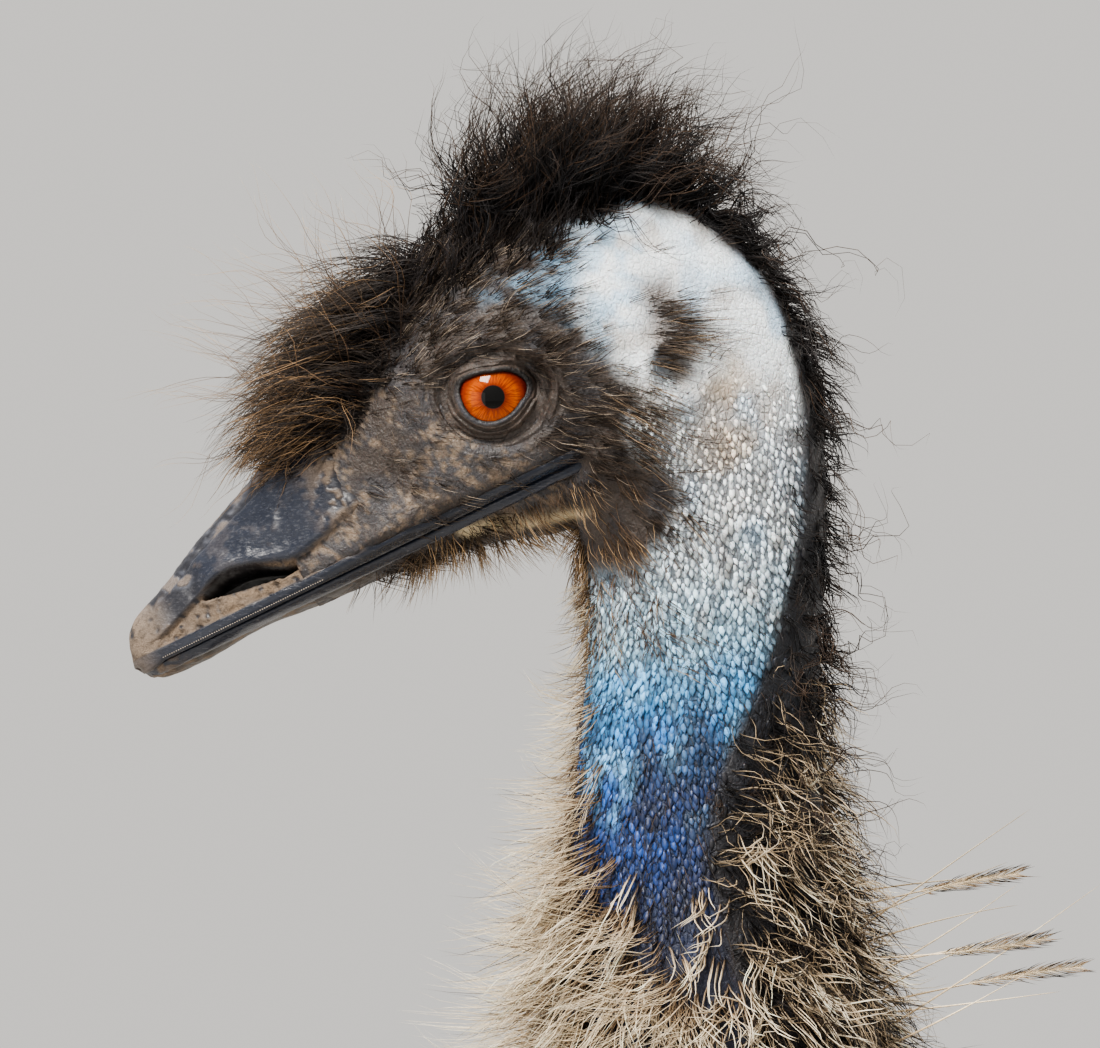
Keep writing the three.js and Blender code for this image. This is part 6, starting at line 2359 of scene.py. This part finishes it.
@dataclass
class Small:
    """Papillae, bristles and the saw edge, sown or strung by geometry nodes."""

    skin: Skin
    maker: Maker

    def bed(self, name: str, thick: Mask, size: Trim, lie: tuple[float, float, float], tint: Array) -> Thing:
        """The part of the skin where something grows, with what the tree reads off it.

        Args:
            name: The piece's name.
            thick: How densely things stand at each (point, normal).
            size: How large they are.
            lie: The way they point on the bird's left; Y is outwards there.
            tint: A colour for each point of the skin's table.

        Returns:
            The bed, as an object.
        """
        surface = self.skin.surface
        rows, columns = surface.points.shape[:2]
        points, normals = surface.points.reshape(-1, 3), surface.normals.reshape(-1, 3)
        density = np.clip(thick(points, normals), 0, 1)
        quads = grid_faces(rows, columns)
        quads = quads[density[quads].max(axis=1) > 0.02]
        used, faces = np.unique(quads, return_inverse=True)
        row, column = np.divmod(used.astype(float), columns)
        patch = Roots(surface, row, column).patch
        way = (
            np.array(lie)[None]
            * np.stack([np.ones(len(used)), np.sign(points[used, 1]), np.ones(len(used))], axis=1)
        )
        extra = {
            "thick": density[used],
            "size": size(points[used]),
            "lie": way,
            "patch": np.concatenate([patch, np.zeros((len(used), 1))], axis=1),
        }
        shape = Shape(points[used], [faces.reshape(-1, 4)], tint[used], extra)
        return self.maker.mesh(name, shape, None)

    def sown(self, bed: Thing, pip: Pip, finish: Material, slot: str, **values: object) -> None:
        """Sows a small shape over a bed and keeps the result."""
        copied = self.maker.mesh(pip.value, pip.shape(), finish, local=True)
        self.maker.keep(sowing().grown(bed, copied, Finish=finish, **values), slot)

    def grow(self) -> None:
        """The papillae of cheek and neck, the hairs among them and the bristles of the jaw."""
        points = self.skin.surface.points.reshape(-1, 3)
        tint = Marks.skin(points)
        size = along([(-45, 0.6), (0, 0.8), (30, 1.05), (90, 1.22), (140, 1.2)])
        bed = self.bed(
            "papillae", lambda p, n: Marks.scaly(p), lambda p: size(-p[:, 2]), (0.12, 0.05, -1.0), tint
        )
        self.sown(
            bed, Pip.PAPILLA, PapillaFinish().material(), "neck_skin",
            Gap=0.00140, Density=2.2e6, Least=0.6, Most=1.2, Lean=0.24, Vary=0.5, Seed=3,
        )
        hair = CoatFinish("bristles", 0.5, 0.4).material()
        dark = np.zeros((len(points), 3)) + np.array(SOOT)
        dark = mix(dark, UMBER, smooth(0.5, 0.8, grain(points, 3, 63)))
        long = along([(-40, 3.2), (20, 4.0), (60, 6.0), (110, 9.0)])

        def among(p: Array, n: Array) -> Array:
            """Where fine hairs stand among the papillae, thicker lower down."""
            z = p[:, 2]
            return (
                Marks.bare(p) * smooth(-40, -20, -z) * smooth(150, 120, -z)
                * (0.35 + 0.65 * smooth(40, 95, -z))
            )

        bed = self.bed("neck_bristles", among, lambda p: long(-p[:, 2]), (0.12, 0.1, -1.0), dark)
        self.sown(
            bed, Pip.BRISTLE, hair, "plumage", Gap=0.0013, Density=3.2e5, Least=0.6, Most=1.15, Lean=0.42,
            Vary=0.5, Seed=5
        )

        def jaw(p: Array, n: Array) -> Array:
            """Where sparse bristles stand along the jaw and on the lores."""
            x, y, z = p.T
            ahead, above = to_head(p)
            ramus = bell(above, -5.2, 2.2) * smooth(46, 38, ahead) * smooth(-16, -8, ahead)
            lores = 0.2 * within(Marks.LORES, x, z, 3) * smooth(2.5, 4, above) * smooth(36, 28, ahead)
            return np.maximum(ramus, lores) * smooth(6, 10, np.abs(y))

        pale = mix(dark * 2.0, (0.17, 0.12, 0.075), smooth(0.4, 0.7, grain(points, 2, 64)))
        bed = self.bed(
            "jaw_bristles", jaw, lambda p: 2.6 + 2.8 * smooth(0, -2, to_head(p)[1]), (0.3, 0.15, -0.9), pale
        )
        self.sown(
            bed, Pip.BRISTLE, hair, "dark_plumage", Gap=0.00062, Density=2.2e6, Least=0.5, Most=1.25,
            Lean=0.55, Vary=0.45, Seed=8
        )

    def saw(self, bill: Bill, horn: Material) -> None:
        """The fine teeth along both rims of the upper bill."""
        for side in Side:
            line = self.maker.line("saw_teeth_" + side.label, bill.comb_line(side))
            copied = self.maker.mesh("tooth", Pip.TOOTH.shape(), horn, local=True)
            self.maker.keep(stringing().grown(line, copied, Pitch=0.00062, Finish=horn), "bill_horn")


# The legs.


@dataclass(frozen=True)
class Toe:
    """One toe: the angle it points at and its sizes."""

    name: str
    turn: float
    long: float
    wide: float
    tall: float


@dataclass
class Leg:
    """A leg from the hip down to the toes, scaled below the thigh."""

    side: Side
    sides: int = 60
    floor: float = -EYE_HEIGHT
    x: float = EYE_FORWARD + 45.0
    y: float = 95.0
    ankle: float = 46.0
    heel: float = 18.0
    pitch: float = 11.4

    BEND = staticmethod(along([(32, 0), (106, 10), (415, 72), (560, 38), (680, 10), (860, -24)]))
    DEEP = staticmethod(along([
        (30, 17), (60, 18), (100, 16), (220, 15.5), (350, 17), (385, 23), (415, 27), (445, 23),
        (490, 20), (545, 24), (580, 34), (640, 54), (720, 78), (800, 92), (880, 84),
    ]))
    WIDE = staticmethod(along([
        (30, 20), (60, 17), (100, 13.5), (220, 12.5), (350, 15), (385, 20), (415, 22), (445, 19),
        (490, 17), (545, 20), (580, 29), (640, 42), (720, 56), (800, 66), (880, 60),
    ]))
    TOES = (
        Toe("inner", 27.0, 96.0, 13.5, 24.0), Toe("middle", 0.0, 140.0, 17.0, 28.0),
        Toe("outer", -27.0, 100.0, 13.5, 24.0)
    )
    SCALE: Colour = (0.105, 0.086, 0.070)
    CREASE: Colour = (0.036, 0.030, 0.027)

    def tube(self, high: Array, sides: int) -> tuple[Array, Array, Array]:
        """The leg's plain tube at heights over the floor, with the height and angle of each point."""
        angle = np.arange(sides) / sides * TAU
        z, turn = np.meshgrid(high, angle, indexing="ij")
        points = np.stack([
            self.x + self.BEND(z) - self.DEEP(z) * np.cos(turn),
            self.side.value * self.y + self.WIDE(z) * np.sin(turn),
            self.floor + z,
        ], axis=-1)
        return points, z, turn

    def sleeve(self) -> Surface:
        """The thigh's surface from the hip down, for its feathers."""
        high = np.linspace(800, 425, 60)
        return Surface.of(self.tube(high, 48)[0])

    def shank(self) -> Shape:
        """The leg's skin from the ankle up into the body."""
        high = np.concatenate([np.arange(18, 500, 2.4), np.linspace(504, 800, 34)])
        points, z, turn = self.tube(high, self.sides)
        surface = Surface.of(points)
        plate = smooth(0.25, 0.5, np.cos(turn)) * smooth(50, 60, z) * smooth(385, 368, z)
        pebble = grain(points, 5.0, 51) * 1.5 + grain(points, 2.6, 52) * 0.6
        lift = pebble * (1 - plate) * smooth(540, 480, z)
        lift = lift + 1.6 * (grain(points, 9, 53) - 0.5) * smooth(360, 400, z) * smooth(460, 430, z)
        points = points + surface.normals * lift[..., None]
        tint = mix(self.CREASE, self.SCALE, smooth(0.6, 1.15, pebble)[..., None])
        tint = mix(tint, np.array(self.CREASE) * 0.8, plate)
        tint = mix(tint, (0.07, 0.056, 0.046), smooth(440, 520, z))
        return self.closed(points, tint)

    def shank_line(self) -> Shape:
        """The line of the plates down the front of the leg, with their size at each point."""
        z = np.arange(376.0, 50.0, -2.0)
        middle = np.stack(
            [self.x + self.BEND(z), np.full_like(z, self.side.value * self.y), self.floor + z], axis=1
        )
        size = np.stack([self.WIDE(z), np.ones(len(z)), self.DEEP(z)], axis=1)
        return self.plated(middle, size)

    def plated(self, points: Array, size: Array, out: tuple[float, float, float] = (-1.0, 0.0, 0.0)) -> Shape:
        """A line of plates.

        Args:
            points: The line.
            size: The scale across, along and out at each point.
            out: The way that the plates face.

        Returns:
            The line, with what the tree reads off it.
        """
        tint = np.zeros((len(points), 3)) + np.array(self.SCALE)
        tint = tint * (0.75 + 0.6 * grain(points, 9, 56))[:, None]
        face = np.repeat(np.array([out]), len(points), axis=0)
        return Shape(points, [], tint, {"out": face, "size": size})

    def on_toe(self, toe: Toe, run: Array, across: Array, up: Array) -> Array:
        """Places on a toe: along it from the ankle, across it and up from the floor."""
        turn = math.radians(toe.turn) * self.side.value
        foot = self.side.value * self.y
        x = self.x - run * math.cos(turn) - across * math.sin(turn)
        y = foot - run * math.sin(turn) + across * math.cos(turn)
        return np.stack([x, y, self.floor + up], axis=-1)

    @staticmethod
    def girth(t: Array) -> Array:
        """How thick a toe is along it, as a share of its thickest."""
        end = np.sqrt(np.maximum(0.03, 1 - np.maximum(0, (t - 0.88) / 0.12) ** 2))
        heel = np.sqrt(np.maximum(0.3, 1 - np.maximum(0, (0.1 - t) / 0.1) ** 2))
        return (1 - 0.3 * t) * end * heel * (1 + 0.06 * np.cos(t * 4 * TAU))

    @staticmethod
    def closed(points: Array, tint: Array, end: float = 0.06, **extra: Array) -> Shape:
        """A closed tube of rings with its colours, grey in the middle of both ends."""
        whole, faces = closed_tube(points)
        tint = np.concatenate([tint.reshape(-1, 3), np.full((2, 3), end)])
        return Shape(whole, outward(whole, faces), tint, extra)

    def toe(self, toe: Toe) -> Shape:
        """One toe with pads below."""
        t, turn = np.meshgrid(np.linspace(0, 1, 84), np.arange(34) / 34 * TAU, indexing="ij")
        run = -self.heel + (toe.long + self.heel) * t
        size, rise = self.girth(t), np.sin(turn)
        across = toe.wide * size * np.cos(turn)
        up = toe.tall * size * (0.44 + 0.6 * rise)
        top = smooth(0.1, 0.6, rise)
        pads = grain(np.stack([run, across, up], -1), 4.0, 54)
        across = across * (1 + 0.06 * pads * (1 - top))
        points = self.on_toe(toe, run, across, np.maximum(0.0, up))
        tint = mix(self.CREASE, self.SCALE, smooth(0.3, 0.6, pads)[..., None])
        tint = mix(tint, self.CREASE, top)
        return self.closed(points, tint)

    def toe_line(self, toe: Toe) -> Shape:
        """The line of the plates along the top of a toe."""
        t = np.linspace(0.14, 0.95, 60)
        size = self.girth(t)
        run = -self.heel + (toe.long + self.heel) * t
        middle = self.on_toe(toe, run, 0 * t, 0.44 * toe.tall * size)
        scale = np.stack([toe.wide * size, np.full(len(t), 0.52), 0.6 * toe.tall * size], axis=1)
        return self.plated(middle, scale, (0.0, 0.0, 1.0))

    def foot(self) -> Shape:
        """The three toes and the pad that joins them."""
        t, turn = np.meshgrid(np.linspace(0, 1, 26), np.arange(52) / 52 * TAU, indexing="ij")
        size = np.sqrt(1 - (t * 0.75) ** 2)
        points = np.stack([
            self.x - 6 + 27 * size * np.cos(turn),
            self.side.value * self.y + 25 * size * np.sin(turn),
            self.floor + self.ankle * t,
        ], axis=-1)
        surface = Surface.of(points)
        pebble = grain(points, 4.5, 55)
        points = points + surface.normals * (1.1 * pebble * smooth(0.05, 0.2, t))[..., None]
        tint = mix(self.CREASE, self.SCALE, smooth(0.3, 0.6, pebble)[..., None])
        return Shape.joined([self.closed(points, tint)] + [self.toe(toe) for toe in self.TOES])

    def claw(self, toe: Toe) -> Shape:
        """A blunt claw that curves down to the floor."""
        t, turn = np.meshgrid(np.linspace(0, 1, 34), np.arange(28) / 28 * TAU, indexing="ij")
        size = np.maximum(0.04, 1 - t**1.7)
        run = toe.long - 9 + 36 * t
        ridge = 1 + 0.03 * np.sin(t * 60)
        across = 7 * size * np.cos(turn) * ridge
        up = toe.tall * 0.34 * (1 - t * t) + 2.2 + 5.5 * size * np.sin(turn) * ridge
        points = self.on_toe(toe, run, across, np.maximum(0.2, up))
        tint = mix((0.020, 0.018, 0.018), (0.075, 0.062, 0.054), smooth(0.55, 1, t)[..., None])
        dust = np.concatenate([(0.35 * smooth(0.5, 1, t)).ravel(), np.zeros(2)])
        return self.closed(points, tint, 0.05, dust=dust, gloss=np.zeros_like(dust))

    def build(self, maker: Maker, scales: Material, horn: Material) -> None:
        """Makes the leg's pieces.

        Args:
            maker: Makes the objects.
            scales: The finish of the skin and the plates.
            horn: The finish of the claws.
        """
        own = self.side.label
        maker.keep(
            maker.mesh("leg_" + own, self.shank(), scales), "leg_scales", "thigh_" + own, "shank_" + own
        )
        maker.keep(maker.mesh("toes_" + own, self.foot(), scales), "leg_scales", "foot_" + own)
        lines = [("shank", self.shank_line(), self.pitch)]
        lines += [(toe.name, self.toe_line(toe), self.pitch * 0.52) for toe in self.TOES]
        for name, line, pitch in lines:
            piece = maker.line(f"scutes_{own}_{name}", line)
            copied = maker.mesh("scute", Pip.SCUTE.shape(), scales, local=True)
            maker.keep(
                stringing().grown(piece, copied, Pitch=pitch / MILLIMETRES, Finish=scales), "leg_scales"
            )
        for toe in self.TOES:
            name = f"claw_{own}_{toe.name}"
            maker.keep(maker.mesh("horn_" + name, self.claw(toe), horn), "claw_horn", name)


# The studio.


@dataclass(frozen=True)
class Studio:
    """Floor, lights and the camera that frames the head as the photograph does."""

    place: Place
    scale: float = 0.238
    frame: tuple[int, int] = (1100, 1048)
    eye_pixel: tuple[int, int] = (493, 397)
    lens: float = 200.0
    sensor: float = 36.0
    backdrop: Colour = (0.72, 0.70, 0.67)
    floor_reach: float = 8.0
    floor_depth: float = 0.0005
    floor_corners: int = 96

    def camera(self) -> None:
        """Sets the camera square to the bird's left side."""
        data = bpy.data.cameras.new("camera")
        data.lens, data.sensor_width, data.sensor_fit = self.lens, self.sensor, "HORIZONTAL"
        data.clip_start, data.clip_end = 0.05, 100
        wide = self.frame[0] * self.scale
        far = wide * self.lens / self.sensor
        x = (self.frame[0] / 2 - self.eye_pixel[0]) * self.scale
        z = -(self.frame[1] / 2 - self.eye_pixel[1]) * self.scale
        spot = self.place.metres(np.array([x, -(far + EYE_OUT + EYE_RADIUS), z]))
        camera = bpy.data.objects.new("camera", data)
        camera.location = tuple(spot)
        camera.rotation_euler = (math.pi / 2, 0, 0)
        bpy.context.scene.collection.objects.link(camera)
        bpy.context.scene.camera = camera

    def light(
        self, name: str, spot: tuple[float, float, float], power: float, size: float, tint: Colour
    ) -> None:
        """A square soft light aimed at the head; its spot is in metres from there."""
        data = bpy.data.lights.new(name, "AREA")
        data.energy, data.size, data.color = power, size, tint
        lamp = bpy.data.objects.new(name, data)
        lamp.location = tuple(np.array(self.place.eye) + np.array(spot))
        aim = Vector(self.place.eye) - lamp.location
        lamp.rotation_euler = aim.to_track_quat("-Z", "Y").to_euler()
        bpy.context.scene.collection.objects.link(lamp)

    def build(self) -> None:
        """Sets up floor, lights and background."""
        ring = np.arange(self.floor_corners) / self.floor_corners * TAU
        data = bpy.data.meshes.new("floor")
        reach = self.floor_reach
        spots = [(reach * math.cos(a), reach * math.sin(a), -self.floor_depth) for a in ring]
        data.from_pydata(spots, [], [tuple(range(self.floor_corners))])
        floor = bpy.data.objects.new("floor", data)
        data.materials.append(FloorFinish().material())
        bpy.context.scene.collection.objects.link(floor)
        self.light("key", (-0.8, -1.3, 1.9), 120, 0.9, (1.0, 0.96, 0.90))
        self.light("top", (0.3, 0.2, 2.2), 80, 1.4, (1.0, 0.98, 0.95))
        self.light("fill", (-1.6, -1.8, -0.2), 9, 1.6, (1.0, 0.94, 0.86))
        self.light("rim", (1.4, 1.5, 1.2), 40, 1.2, (1.0, 0.95, 0.88))
        world = bpy.data.worlds.new("studio")
        world.use_nodes = True
        world.node_tree.nodes["Background"].inputs[0].default_value = (*self.backdrop, 1)
        world.node_tree.nodes["Background"].inputs[1].default_value = 1.0
        bpy.context.scene.world = world
        bpy.context.scene.view_settings.look = "AgX - Medium High Contrast"


def main() -> None:
    """Builds the emu piece by piece."""
    logging.basicConfig(level=logging.INFO, format="%(message)s")
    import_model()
    low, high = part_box("eye_left")
    place = Place(Vector(((low.x + high.x) / 2, 0.0, (low.z + high.z) / 2)))
    maker = Maker(place)
    studio = Studio(place)
    studio.camera()
    skin = Skin()
    flesh = ["head", "neck_upper", "neck_lower", "torso", "tail"]
    flesh += ["ear_left", "ear_right", "wing_left", "wing_right"]
    piece = maker.mesh("skin", skin.shape(), SkinFinish().material())
    maker.keep(piece, "head_skin", *flesh)
    bill = Bill()
    horn = HornFinish().material()
    maker.keep(maker.mesh("upper_bill", bill.upper(), horn), "bill_horn", "bill_upper")
    maker.keep(maker.mesh("lower_bill", bill.lower(), horn), "bill_horn", "bill_lower")
    small = Small(skin, maker)
    small.saw(bill, horn)
    small.grow()
    wet = EyeFinish().material()
    lid_skin = SkinFinish("lid_skin", relief=0.0004).material()
    scales = ScaleFinish().material()
    claw_horn = HornFinish("claw_horn", (0.09, 0.08, 0.075)).material()
    legs = [Leg(side) for side in Side]
    for leg in legs:
        eye = Eye(skin, leg.side)
        maker.keep(maker.mesh("eyeball_" + leg.side.label, eye.ball(), wet), "eye", "eye_" + leg.side.label)
        maker.keep(maker.mesh("lids_" + leg.side.label, eye.lids(), lid_skin), "head_skin")
        leg.build(maker, scales, claw_horn)
    plumage = Plumage(skin, maker)
    plumage.head()
    plumage.neck()
    plumage.body(legs)
    studio.build()
    LOG.info("%d triangles in all", maker.triangles)


if __name__ == "__main__":
    main()
